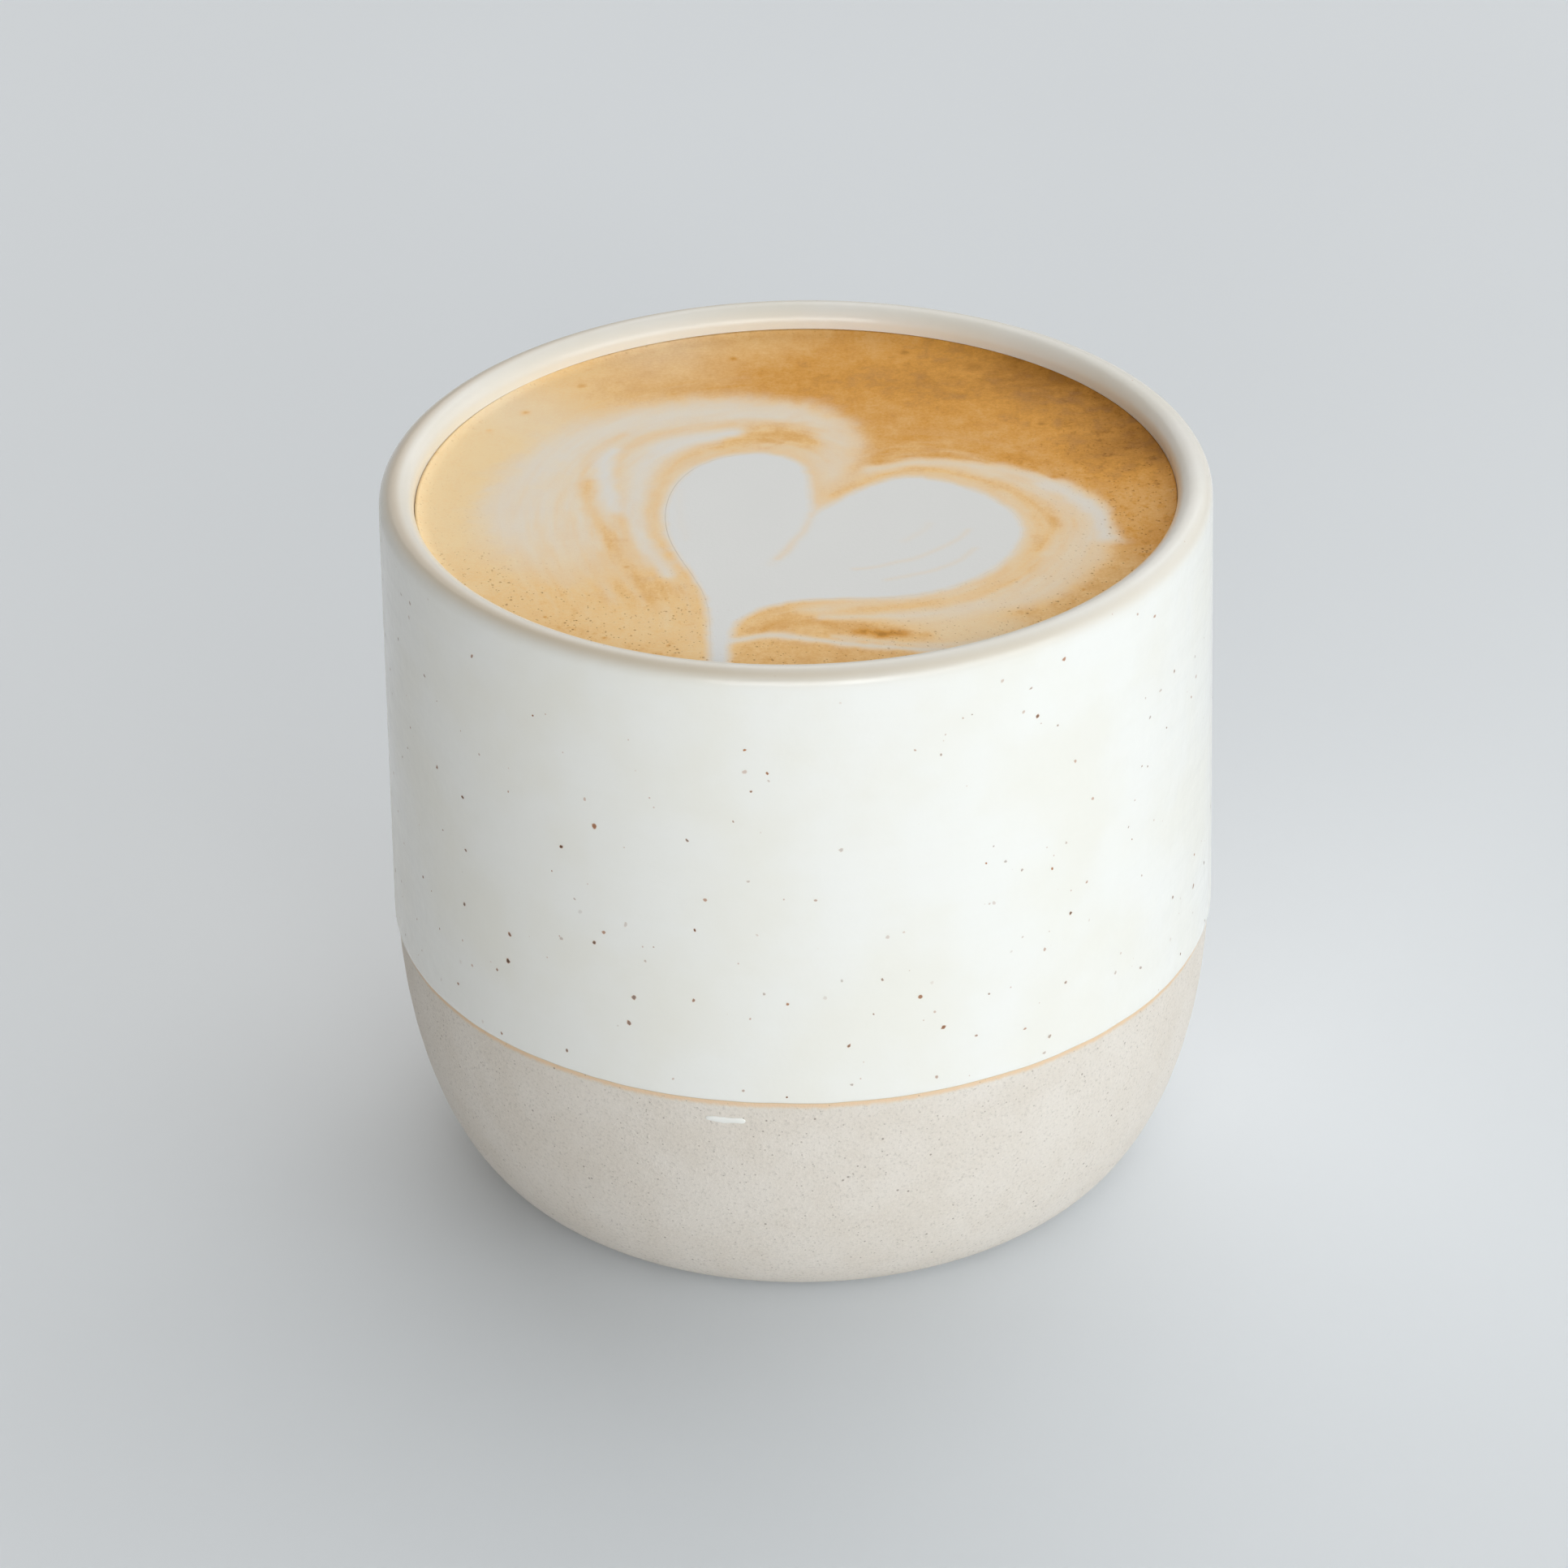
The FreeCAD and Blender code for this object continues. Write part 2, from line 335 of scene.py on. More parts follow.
# --- materials --------------------------------------------------------------------------------
class Nodes:
    """Short ways to add shader nodes to one material."""

    def __init__(self, name):
        self.material = bpy.data.materials.new(name)
        self.material.use_nodes = True
        self.tree = self.material.node_tree
        self.shader = self.tree.nodes["Principled BSDF"]

    def link(self, source, target):
        """Sets a socket from another socket, or to a plain value."""
        if isinstance(source, bpy.types.NodeSocket):
            self.tree.links.new(source, target)
        else:
            if target.type == "RGBA" and len(source) == 3:
                source = (*source, 1.0)
            target.default_value = source

    def place(self, shift=(0, 0, 0), scale=(1, 1, 1)):
        """The object's own coordinates in metres, moved and scaled."""
        source = self.tree.nodes.new("ShaderNodeTexCoord")
        mapping = self.tree.nodes.new("ShaderNodeMapping")
        mapping.inputs["Location"].default_value = shift
        mapping.inputs["Scale"].default_value = scale
        self.tree.links.new(source.outputs["Object"], mapping.inputs["Vector"])
        return mapping.outputs["Vector"]

    def value(self, name):
        """One of the piece's own numbers."""
        node = self.tree.nodes.new("ShaderNodeAttribute")
        node.attribute_name = name
        return node.outputs["Fac"]

    def noise(self, place, size, detail=2.0, rough=0.5, distortion=0.0):
        """Noise whose features are about size metres across."""
        node = self.tree.nodes.new("ShaderNodeTexNoise")
        node.inputs["Scale"].default_value = 1 / size
        node.inputs["Detail"].default_value = detail
        node.inputs["Roughness"].default_value = rough
        node.inputs["Distortion"].default_value = distortion
        self.tree.links.new(place, node.inputs["Vector"])
        return node.outputs["Fac"]

    def cells(self, place, size):
        """Distance to the nearest of points scattered size metres apart, in shares of size."""
        node = self.tree.nodes.new("ShaderNodeTexVoronoi")
        node.inputs["Scale"].default_value = 1 / size
        self.tree.links.new(place, node.inputs["Vector"])
        return node.outputs["Distance"]

    def remap(self, source, low, high, to_low=0.0, to_high=1.0):
        """A smooth clamped map of a value from one range to another."""
        node = self.tree.nodes.new("ShaderNodeMapRange")
        node.interpolation_type = "SMOOTHSTEP"
        self.tree.links.new(source, node.inputs["Value"])
        for label, number in (("From Min", low), ("From Max", high),
                              ("To Min", to_low), ("To Max", to_high)):
            node.inputs[label].default_value = number
        return node.outputs["Result"]

    def maths(self, operation, first, second, clamp=False):
        """One sum of two values."""
        node = self.tree.nodes.new("ShaderNodeMath")
        node.operation = operation
        node.use_clamp = clamp
        self.link(first, node.inputs[0])
        self.link(second, node.inputs[1])
        return node.outputs[0]

    def times(self, product, *factors):
        """The product of several values."""
        for factor in factors:
            product = self.maths("MULTIPLY", product, factor)
        return product

    def stray(self, source, *factors):
        """How far a noise strays from its middle, times the factors."""
        return self.times(self.maths("SUBTRACT", source, 0.5), *factors)

    def mix(self, amount, first, second):
        """Two colours mixed by an amount."""
        node = self.tree.nodes.new("ShaderNodeMix")
        node.data_type = "RGBA"
        sockets = {socket.name: socket for socket in node.inputs if socket.type == "RGBA"}
        self.link(amount, node.inputs["Factor"])
        self.link(first, sockets["A"])
        self.link(second, sockets["B"])
        return [socket for socket in node.outputs if socket.type == "RGBA"][0]

    def ramp(self, source, stops):
        """A colour read off a row of (place, colour) stops."""
        node = self.tree.nodes.new("ShaderNodeValToRGB")
        node.color_ramp.interpolation = "LINEAR"
        while len(node.color_ramp.elements) < len(stops):
            node.color_ramp.elements.new(0.5)
        for element, (place, tint) in zip(node.color_ramp.elements, stops):
            element.position = place
            element.color = (*tint, 1.0)
        self.tree.links.new(source, node.inputs["Fac"])
        return node.outputs["Color"]

    def relief(self, height, depth, under=None):
        """A bump of the given depth in metres, on top of another one."""
        node = self.tree.nodes.new("ShaderNodeBump")
        node.inputs["Distance"].default_value = depth
        node.inputs["Strength"].default_value = 1.0
        self.link(height, node.inputs["Height"])
        if under is not None:
            self.tree.links.new(under, node.inputs["Normal"])
        return node.outputs["Normal"]

    def finish(self, base, roughness, normal, **fixed):
        """Sets the shader: base colour, roughness and bump from nodes, and fixed numbers on its
        own sockets."""
        self.link(base, self.shader.inputs["Base Color"])
        self.link(roughness, self.shader.inputs["Roughness"])
        self.tree.links.new(normal, self.shader.inputs["Normal"])
        for label, number in fixed.items():
            self.shader.inputs[label.replace("_", " ")].default_value = number
        return self.material


def tinted(tint, *shares):
    """A colour times one share, or times a share for each channel, and none above one."""
    return tuple(min(1.0, share * channel) for share, channel in zip(3 * shares, tint))


def glaze_material(glaze):
    """Satin cream-white glaze: faint clouds, throwing lines, orange-peel relief, pinpoint specks,
    the thin glaze over the rim with painted shade on the cup's left side, of the value "thin",
    and a speck's iron from the centre ("iron" is 1) out to its rusty edge, darker or rustier by
    "strength" and "rust"."""
    existing = bpy.data.materials.get("speckled_glaze")
    if existing:
        return existing
    n = Nodes("speckled_glaze")
    place = n.place()
    cloud = n.noise(place, 0.011, 3.0)
    warm = tinted(glaze.white, 0.975, 0.962, 0.925)
    base = n.mix(n.remap(cloud, 0.35, 0.7), tuple(glaze.white), warm)
    lines = n.noise(n.place(scale=(0.06, 0.06, 1.0)), 0.0011, 2.0)
    base = n.mix(n.remap(lines, 0.3, 0.75, 0.0, 0.12), base, warm)
    pinpoint = n.remap(n.cells(place, 0.0013), 0.035, 0.085, 1.0, 0.0)
    few = n.remap(n.noise(place, 0.0031, 0.0), 0.60, 0.66)
    base = n.mix(n.times(pinpoint, few, 0.5), base, tuple(glaze.rust))
    # thin glaze over the rim, with painted shade on the cup's left side
    base = n.mix(n.value("thin_and_shade"), base, tuple(glaze.thin_and_shade))
    iron = n.value("iron")
    speck = n.mix(n.value("rust"), tuple(glaze.iron), tuple(glaze.rust))
    speck = n.mix(n.remap(iron, 0.30, 0.85), tuple(glaze.halo), speck)
    ragged = n.maths("ADD", iron, n.stray(n.noise(place, 0.00012, 1.0), 0.5))
    core = n.times(n.remap(ragged, 0.12, 0.62), n.remap(iron, 0.0, 0.15))
    base = n.mix(n.times(core, n.value("strength")), base, speck)
    rough = n.remap(cloud, 0.3, 0.7, glaze.roughness - 0.03, glaze.roughness + 0.05)
    orange_peel = n.relief(n.noise(place, 0.0016, 2.0), 0.000035)
    return n.finish(base, rough, n.relief(lines, 0.000018, orange_peel), IOR=1.5)


# Grains in the clay: spacing of the cells, reach from full to none, how rare, and strength.
GRAINS = ((0.0011, 0.05, 0.14, 0.55, 0.65), (0.00055, 0.08, 0.20, 0.50, 0.45))


def clay_material(clay):
    """Bare sandy clay: soft patches, fine dark and light grains, and the toasted orange line
    where the piece carries the value "toast"."""
    n = Nodes("bare_clay")
    place = n.place()
    patch = n.noise(place, 0.006, 4.0, 0.6)
    base = n.mix(n.remap(patch, 0.3, 0.7), tuple(clay.body), tuple(clay.shade))
    sand = n.noise(place, 0.00028, 3.0, 0.7)
    base = n.mix(n.remap(sand, 0.52, 0.72, 0.0, 0.48), base, tinted(clay.shade, 0.62))
    base = n.mix(n.remap(sand, 0.48, 0.28, 0.0, 0.35), base, tinted(clay.body, 1.14))
    toast = n.value("toast")
    ragged = n.maths("ADD", toast, n.stray(n.noise(place, 0.0009, 3.0, 0.65), 0.5))
    flash = n.times(n.remap(ragged, 0.25, 0.8), n.remap(toast, 0.02, 0.2))
    base = n.mix(flash, base, tuple(clay.toast))
    base = n.mix(n.remap(toast, 0.93, 1.0, 0.0, 0.45), base, tinted(clay.toast, 0.42))
    for size, full, none, rare, amount in GRAINS:
        grain = n.remap(n.cells(place, size), full, none, 1.0, 0.0)
        some = n.remap(n.noise(place, size * 2.4, 0.0), rare, rare + 0.05)
        base = n.mix(n.times(grain, some, amount), base, tuple(clay.grain))
    relief = n.relief(n.noise(place, 0.0021, 2.0), 0.00006, n.relief(sand, 0.00006))
    return n.finish(base, clay.roughness, relief, IOR=1.45)


# Open bubbles: spacing of the cells, reach from full to none, and depth.
PITS = ((0.00080, 0.09, 0.20, 1.0), (0.00042, 0.10, 0.27, 0.8))


def foam_material(drink):
    """Crema and milk foam: the tone and the milk come from the piece's own values, broken up by
    fine streaks, with tiny open bubbles where the value "bubbles" is high, their pits darkened
    towards the brown crema as painted shade."""
    existing = bpy.data.materials.get("crema_and_milk")
    if existing:
        return existing
    n = Nodes("crema_and_milk")
    place = n.place()
    fine = n.noise(place, 0.00034, 4.0, 0.75)
    broad = n.noise(n.place(scale=(1.0, 1.0, 0.0)), 0.0021, 4.0, 0.65)
    streaks = n.noise(n.place(scale=(1.0, 0.22, 0.0)), 0.0009, 3.0, 0.6, 0.6)
    tone, milk, bubbles = n.value("tone"), n.value("milk"), n.value("bubbles")
    calm = n.maths("SUBTRACT", 1.0, n.times(tone, 0.55))
    for source, amount in ((fine, 0.50), (broad, 0.20), (streaks, 0.16)):
        tone = n.maths("ADD", tone, n.stray(source, amount, calm), clamp=True)
    spots = n.remap(n.noise(n.place(scale=(1.0, 0.8, 1.0)), 0.0009, 3.0, 0.65), 0.50, 0.78)
    tone = n.maths("ADD", tone, n.times(spots, bubbles, 0.17), clamp=True)
    crema = n.ramp(tone, ((0.0, tuple(drink.pale)), (0.36, tuple(drink.gold)),
                          (0.72, tuple(drink.amber)), (1.0, tuple(drink.brown))))
    wisps = n.times(n.maths("SUBTRACT", 1.0, milk), milk)
    for source, amount in ((streaks, 0.55), (fine, 0.35)):
        milk = n.maths("ADD", milk, n.stray(source, wisps, amount), clamp=True)
    base = n.mix(milk, crema, tuple(drink.milk))
    bubble = 0.0
    for size, full, none, depth in PITS:
        pit = n.remap(n.cells(place, size), full, none, depth, 0.0)
        is_open = n.remap(n.noise(place, 2.3 * size, 1.0), 0.46, 0.56)
        bubble = n.maths("MAXIMUM", bubble, n.times(pit, is_open))
    bubble = n.times(bubble, bubbles)
    # painted shade in the open bubbles' pits: their colour is darkened towards the brown crema
    shade = n.mix(0.72, base, tuple(drink.brown))
    base = n.mix(n.times(bubble, 0.85), base, shade)
    relief = n.relief(fine, 0.000015, n.relief(n.maths("SUBTRACT", 1.0, bubble), 0.00008))
    rough = n.remap(broad, 0.3, 0.7, drink.roughness - 0.04, drink.roughness + 0.06)
    return n.finish(base, rough, relief, IOR=1.34, Specular_IOR_Level=0.1)


# --- the drink's pattern ----------------------------------------------------------------------
# Places on the drink's face in millimetres from the cup's axis, the tail towards -Y.
NOTCH = np.array([1.4, -3.7])               # where the two lobes of the heart meet
LEFT_LOBE = np.array([-12.9, 12.6])         # how far it goes sideways and rises from the notch
RIGHT_LOBE = np.array([18.4, 7.2])
TAIL_X, TAIL_TOP, TAIL_END, TAIL_WIDTH = -6.9, -19.7, -31.74, 1.2


def on_lobe(lobe, *shares):
    """Places on a lobe, as shares of its width and of its rise from the notch."""
    return [NOTCH + lobe * share for share in shares]


def on_tail(*places):
    """Places beside the tail: so many widths from its middle, at a share of its length."""
    return [(TAIL_X + widths * TAIL_WIDTH, TAIL_TOP + share * (TAIL_END - TAIL_TOP))
            for widths, share in places]


HEART_LEFT = (on_lobe(LEFT_LOBE, (0, 0), (0.03, 0.55), (0.12, 0.88), (0.39, 1.0), (0.76, 0.84),
                      (0.98, 0.36), (0.95, -0.40))
              + on_tail((-1.0, -0.12), (-0.6, 0.40), (-0.5, 1.0)))
HEART_RIGHT = (on_lobe(RIGHT_LOBE, (0, 0), (0.18, 0.57), (0.43, 1.0), (0.78, 0.64), (1.0, -0.42),
                       (0.82, -1.52), (0.42, -2.10))
               + on_tail((4.1, 0.01), (1.5, 0.22), (0.6, 0.62), (0.5, 1.0)))
HEART_MIDDLE = (NOTCH, (1.1, -7.0), (-0.6, -11.5), (-3.0, -15.4), (-4.6, -18.6),
                (-6.2, -22.2), (-6.9, -27.0), (TAIL_X, TAIL_END))
VEIL = (NOTCH, (3.4, 2.0), (4.7, 6.0), (5.2, 11.0), (3.9, 15.0), (1.0, 18.2),
        (-4.0, 19.8), (-10.5, 19.6), (-16.5, 17.4), (-21.6, 13.4), (-25.2, 8.0), (-27.0, 1.5),
        (-27.2, -5.0), (-26.0, -11.0), (-22.0, -16.0), (-17.0, -17.0), (-13.0, -13.0),
        (-10.8, -8.0), (-11.2, 0.0), (-8.4, 6.9), (-3.6, 8.9), (-0.2, 7.4), (1.0, 3.0))
RIGHT_VEIL = (NOTCH, (5.5, 4.8), (10.0, 6.3), (15.0, 6.4), (19.0, 5.4), (22.5, 3.4),
              (25.6, 0.4), (27.4, -3.5), (27.6, -8.0), (26.2, -14.0), (22.6, -19.6),
              (16.0, -22.6), (8.0, -23.0), (0.0, -21.0), (9.1, -18.8), (16.5, -14.6),
              (19.8, -6.7), (15.8, 0.9), (9.3, 3.5), (4.7, 0.4))

# Soft patches of the bare crema: x, y, radius, tone from pale (0) to brown (1), milk, bubbles.
WASHES = (
    (-31, 4, 6, 0.02, 0, 0.1), (-29, -6, 6, 0.02, 0, 0.2), (-30, 13, 5, 0.02, 0, 0.0),
    (-25, 19, 5, 0.02, 0.2, 0.0), (-20, 23, 5, 0.37, 0, 0.0), (-13, 24, 5, 0.54, 0, 0.0),
    (-6, 25, 5, 0.65, 0, 0.0), (-12, 29, 5, 0.37, 0.2, 0.0), (-3, 31, 5, 0.48, 0, 0.0),
    (1, 25, 5, 0.80, 0, 0.0), (8, 30, 5, 0.65, 0, 0.1), (5, 20, 5, 0.68, 0, 0.0),
    (9, 14, 5, 0.64, 0, 0.1), (12, 24, 5, 0.84, 0, 0.1), (10, 8, 4, 0.58, 0, 0.1),
    (17, 17, 6, 0.74, 0, 0.2), (16, 9, 5, 0.61, 0, 0.1), (22, 10, 5, 0.64, 0, 0.4),
    # the patches at (22, 24), (27, 16) and (29, 8) darken the crema at the back-right wall: partly
    # its own brown, partly painted shadow of the wall
    (22, 24, 5, 1.00, 0, 0.2), (27, 16, 5, 0.93, 0, 0.5), (16, 29, 4, 0.77, 0, 0.0),
    (29, 8, 5, 0.97, 0, 0.9), (30, 0, 5, 0.62, 0, 0.9), (29, -8, 4, 0.67, 0, 1.0),
    (24, 4, 4, 0.62, 0, 0.4), (27, -14, 4, 0.47, 0, 1.0), (22, -21, 4, 0.46, 0, 0.9),
    (15, -26, 4, 0.13, 0.15, 0.5), (6, -30, 4, 0.48, 0, 0.6), (-2, -30, 3, 0.48, 0, 0.8),
    (0, -24, 4, 0.44, 0, 0.2), (-10, -25, 4, 0.19, 0, 0.8), (-16, -23, 5, 0.21, 0, 0.8),
    (-22, -18, 5, 0.32, 0, 0.9), (-27, -13, 4, 0.17, 0, 0.7), (-13, -29, 3, 0.57, 0, 1.0),
    (-20, -25, 3, 0.56, 0, 1.0), (-14, -15, 4, 0.42, 0, 0.2), (20, -10, 4, 0.35, 0, 0.1),
)

# Strokes over it: points, half width in mm, milk, tone, strength.
STROKES = (
    # pale band along the veil's outer side
    (((-25.6, -4), (-25.0, 3), (-22.4, 9), (-18.0, 13.8), (-11.5, 16.8), (-4.5, 17.2),
      (0.6, 15.4), (3.4, 11.5)), 2.3, 0.66, 0.06, 0.7),
    # golden crescent over the left lobe
    (((-6.6, 11.2), (-4.0, 12.6), (-1.2, 12.5), (1.6, 10.8)), 2.4, 0.0, 0.44, 0.95),
    (((-2.6, 12.2), (0.8, 12.4)), 1.7, 0.0, 0.54, 0.6),
    (((3.0, 4.4), (3.4, 8.0), (3.0, 11.5)), 1.0, 0.60, 0.06, 0.5),
    (((1.9, -0.6), (2.4, 3.4), (2.3, 7.2)), 0.8, 0.25, 0.34, 0.6),
    # golden line along the heart's left side
    (((-8.8, 9.4), (-11.8, 5.8), (-13.0, 1.0), (-12.9, -4.5), (-11.9, -10), (-10.5, -15.5),
      (-9.6, -20.5), (-9.0, -26)), 0.95, 0.10, 0.34, 0.8),
    # first white arc and the beige behind it
    (((-6.0, 13.4), (-9.2, 12.0), (-11.8, 10.2)), 1.0, 0.92, 0.0, 0.85),
    (((-10.6, 11.0), (-13.2, 8.4), (-14.4, 4), (-14.6, -0.5), (-14.2, -5), (-13.2, -10),
      (-11.8, -14)), 0.95, 0.82, 0.04, 0.66),
    # golden line outside the first arc
    (((-6.0, 15.2), (-10.0, 14.2), (-13.6, 12.0), (-15.6, 9.0), (-16.2, 5), (-16.0, 0),
      (-15.4, -6), (-14.4, -11)), 0.65, 0.20, 0.32, 0.7),
    # second white arc
    (((-16.4, 10.4), (-17.3, 8.0), (-17.3, 5.0), (-16.7, 1.8), (-15.9, -1.6)), 0.8, 0.90,
     0.0, 0.8),
    # golden outline of the second arc, which runs on down as the strongest streak
    (((-15.2, 13.4), (-17.6, 11.4), (-19.0, 8.0), (-19.1, 4), (-18.4, 0.5)), 0.55, 0.25,
     0.30, 0.6),
    (((-18.7, 3.5), (-18.2, -1), (-17.3, -5.5), (-16.2, -10), (-14.9, -14)), 0.8, 0.02, 0.42,
     0.7),
    (((-16.8, -6), (-15.6, -11), (-14.0, -16), (-12.4, -21)), 0.9, 0.05, 0.44, 0.55),
    (((-20.0, -2), (-19.4, -8), (-18.2, -13), (-16.4, -19)), 0.7, 0.25, 0.30, 0.45),
    (((-22.6, -4), (-21.8, -10), (-20.2, -16)), 0.5, 0.35, 0.26, 0.35),
    # golden line round the right lobe
    (((3.6, 0.6), (6.2, 3.6), (9.3, 4.9), (13.6, 4.3), (17.6, 2.0), (20.7, -2.2),
      (21.6, -7.2), (20.6, -12.6), (17.4, -17.0), (12.0, -20.1), (4.0, -21.8)), 1.15, 0.03,
     0.38, 0.85),
    (((18.0, 2.4), (20.8, -2.0), (21.8, -7.0), (21.2, -11)), 0.7, 0.0, 0.48, 0.6),
    # second, fainter golden line outside it
    (((19.5, 4.0), (22.8, 0.6), (24.0, -4), (23.7, -9), (22.0, -14), (18.6, -18.6)), 0.6,
     0.25, 0.34, 0.55),
    # outer white arc, thickest at the right
    (((6.4, 5.4), (10.0, 6.2), (14.0, 6.2), (18.4, 5.2), (21.6, 3.4)), 0.7, 0.62, 0.05, 0.55),
    (((22.2, 1.9), (24.4, -0.2), (25.9, -2.8), (26.7, -5.6), (27.1, -8.4)), 1.1, 0.86, 0.0,
     0.8),
    # streaks in front
    (((-4.2, -24.0), (-1.0, -23.4), (3.0, -23.7), (7.2, -25.3), (11.0, -25.8)), 0.9, 0.0,
     0.56, 0.8),
    (((5.6, -25.2), (7.4, -25.6), (9.0, -25.6)), 0.55, 0.0, 0.80, 0.85),
    (((2.2, -23.6), (3.2, -23.8)), 0.35, 0.0, 0.70, 0.6),
    (((-5.6, -26.0), (-3.6, -25.4), (-0.6, -25.9), (3.0, -27.0), (7.4, -28.0), (12.0, -28.8)),
     0.50, 0.84, 0.0, 0.7),
    (((3.0, -25.9), (8.0, -27.2), (13.0, -27.7), (17.0, -26.9)), 0.45, 0.60, 0.08, 0.5),
    (((2.0, -22.5), (7.0, -22.4), (12.0, -21.6), (16.0, -20.2)), 0.55, 0.66, 0.08, 0.5),
)

# Dots and pits of the crema, and dark dots along the back-right wall, about 3 mm in from it, that
# paint the wall's shadow on the drink: x, y, radius, tone, strength.
DOTS_AND_WALL_SHADOW = (
    (22.4, 13.6, 0.35, 1.0, 0.7), (22.0, 21.6, 0.60, 1.0, 0.75), (16.6, 26.0, 0.75, 1.0, 0.6),
    (10.1, 29.0, 0.45, 1.0, 0.6), (-5.1, 28.2, 0.35, 1.0, 0.55), (-19.7, 23.3, 0.40, 0.9, 0.5),
    (23.1, 3.5, 0.50, 0.78, 0.9), (-24.5, 18.3, 0.40, 0.66, 0.8), (-28.0, 14.6, 0.35, 0.5, 0.7),
    (7.3, -25.8, 0.60, 0.92, 0.9), (-15.3, -12.6, 0.22, 0.9, 0.5), (21.6, 18.8, 0.7, 0.95, 0.4),
    (28.9, 9.4, 1.2, 0.95, 0.5), (30.5, 7.0, 0.8, 0.9, 0.4), (5.4, 17.2, 0.6, 0.75, 0.5),
    (20.0, 9.2, 0.5, 0.75, 0.4), (-22.0, -21.5, 0.16, 1.0, 0.7), (-16.9, -25.0, 0.18, 1.0, 0.7),
    (-11.0, -27.0, 0.15, 1.0, 0.6), (-3.0, 25.0, 0.4, 0.8, 0.4), (13.0, 23.0, 0.5, 0.85, 0.4),
)

# Faint creases in the milk: points, half width, milk left, strength.
CREASES = (
    (((1.5, -3.2), (0.9, -6.0), (-0.1, -8.6), (-1.6, -11.6)), 0.45, 0.62, 0.8),
    (((-0.6, -9.4), (-2.2, -12.6)), 0.6, 0.86, 0.6),
    (((9.4, -8.2), (10.6, -6.6), (11.4, -5.0)), 0.45, 0.84, 0.6),
    (((5.2, -13.6), (8.4, -12.6), (11.6, -10.6), (13.6, -8.8), (15.0, -6.6)), 0.36, 0.72, 0.65),
    (((8.2, -15.8), (11.6, -14.2), (14.2, -12.4), (15.8, -10.4)), 0.36, 0.72, 0.65),
    (((-10.6, 2.0), (-10.4, -2.0), (-10.0, -7.0)), 0.5, 0.86, 0.4),
)


def curve_through(points, samples):
    """The natural cubic spline through the points, timed by their spacing: on each span it blends
    the two ends linearly and adds the cubic terms of their second derivatives."""
    points = np.asarray(points, float)
    gaps = np.linalg.norm(np.diff(points, axis=0), axis=1)
    times = np.concatenate([[0], np.cumsum(gaps)])
    count = len(points)
    system = np.eye(count)
    right = np.zeros_like(points)
    for i in range(1, count - 1):
        system[i, i - 1:i + 2] = gaps[i - 1], 2 * (gaps[i - 1] + gaps[i]), gaps[i]
        right[i] = 6 * ((points[i + 1] - points[i]) / gaps[i]
                        - (points[i] - points[i - 1]) / gaps[i - 1])
    bend = np.linalg.solve(system, right)
    at = np.linspace(0, times[-1], samples)
    span = np.clip(np.searchsorted(times, at, side="right") - 1, 0, count - 2)
    gap = gaps[span][:, None]
    ahead = ((at - times[span])[:, None]) / gap
    back = 1 - ahead
    return (back * points[span] + ahead * points[span + 1]
            + gap ** 2 / 6 * ((back ** 3 - back) * bend[span] + (ahead ** 3 - ahead)
                              * bend[span + 1]))


def distance_to(points, line):
    """Distance from each point to an open line of straight pieces."""
    start, end = line[:-1], line[1:]
    along = end - start
    span = np.maximum((along ** 2).sum(axis=1), 1e-12)
    nearest = np.full(len(points), np.inf)
    for a, d, s in zip(start, along, span):
        offset = points - a
        t = np.clip(offset @ d / s, 0, 1)
        gap = offset - t[:, None] * d
        nearest = np.minimum(nearest, (gap ** 2).sum(axis=1))
    return np.sqrt(nearest)


def depth_inside(points, outline):
    """Distance to a closed outline, above nought inside it and below nought outside."""
    ring = np.concatenate([outline, outline[:1]])
    crossings = np.zeros(len(points), dtype=bool)
    x, y = points.T
    for (ax, ay), (bx, by) in zip(ring[:-1], ring[1:]):
        between = (ay > y) != (by > y)
        if ay != by:
            crossings ^= between & (x < ax + (y - ay) * (bx - ax) / (by - ay))
    return distance_to(points, ring) * np.where(crossings, 1, -1)


def heart_sides(samples):
    """The heart's two sides, each from the notch to the tail's end, in millimetres."""
    return curve_through(HEART_LEFT, samples), curve_through(HEART_RIGHT, samples)


def depth_in_heart(points):
    """Distance of points in millimetres to the heart's outline, above nought inside it."""
    left, right = heart_sides(150)
    return depth_inside(points, np.concatenate([left, right[::-1]]))


def closed_curve(points, samples):
    """A smooth closed outline through the points: the spline through three rounds of them, of
    which the middle round is kept."""
    ring = np.asarray(points, float)
    three = np.concatenate([ring, ring, ring, ring[:1]])
    gaps = np.linalg.norm(np.diff(three, axis=0), axis=1)
    times = np.concatenate([[0], np.cumsum(gaps)])
    at = np.linspace(0, times[-1], samples * 3)
    middle_round = (at >= times[len(ring)]) & (at < times[2 * len(ring)])
    return curve_through(three, samples * 3)[middle_round]


# Noise that pushes the pattern about: spacing, push and seed. Noise that runs round the heart in
# thin lines: spacing across them, lines along, strength and seed.
PUSHES = ((6.0, 0.46, 21), (2.1, 0.13, 23), (0.8, 0.06, 25))
FLOWS = ((0.95, 4, 1.0, 51), (0.42, 8, 0.7, 52), (0.2, 14, 0.4, 53))


def pushed(points):
    """The points pushed about by smooth noise, so that no edge is drawn with a ruler."""
    moved = points.copy()
    for cell, amount, seed in PUSHES:
        moved[:, 0] += amount * smooth_noise(points, cell, seed)
        moved[:, 1] += amount * smooth_noise(points, cell, seed + 1)
    return moved


def bare_crema(points):
    """Tone, milk and bubbles of the crema before the milk is poured: those of the patches,
    averaged by the weight exp(-(d/r)^2)."""
    patches = np.array(WASHES)
    weights = np.array([np.exp(-((points - (x, y)) ** 2).sum(axis=1) / radius ** 2)
                        for x, y, radius in patches[:, :3]]) + 1e-9
    return patches[:, 3:].T @ weights / weights.sum(axis=0)


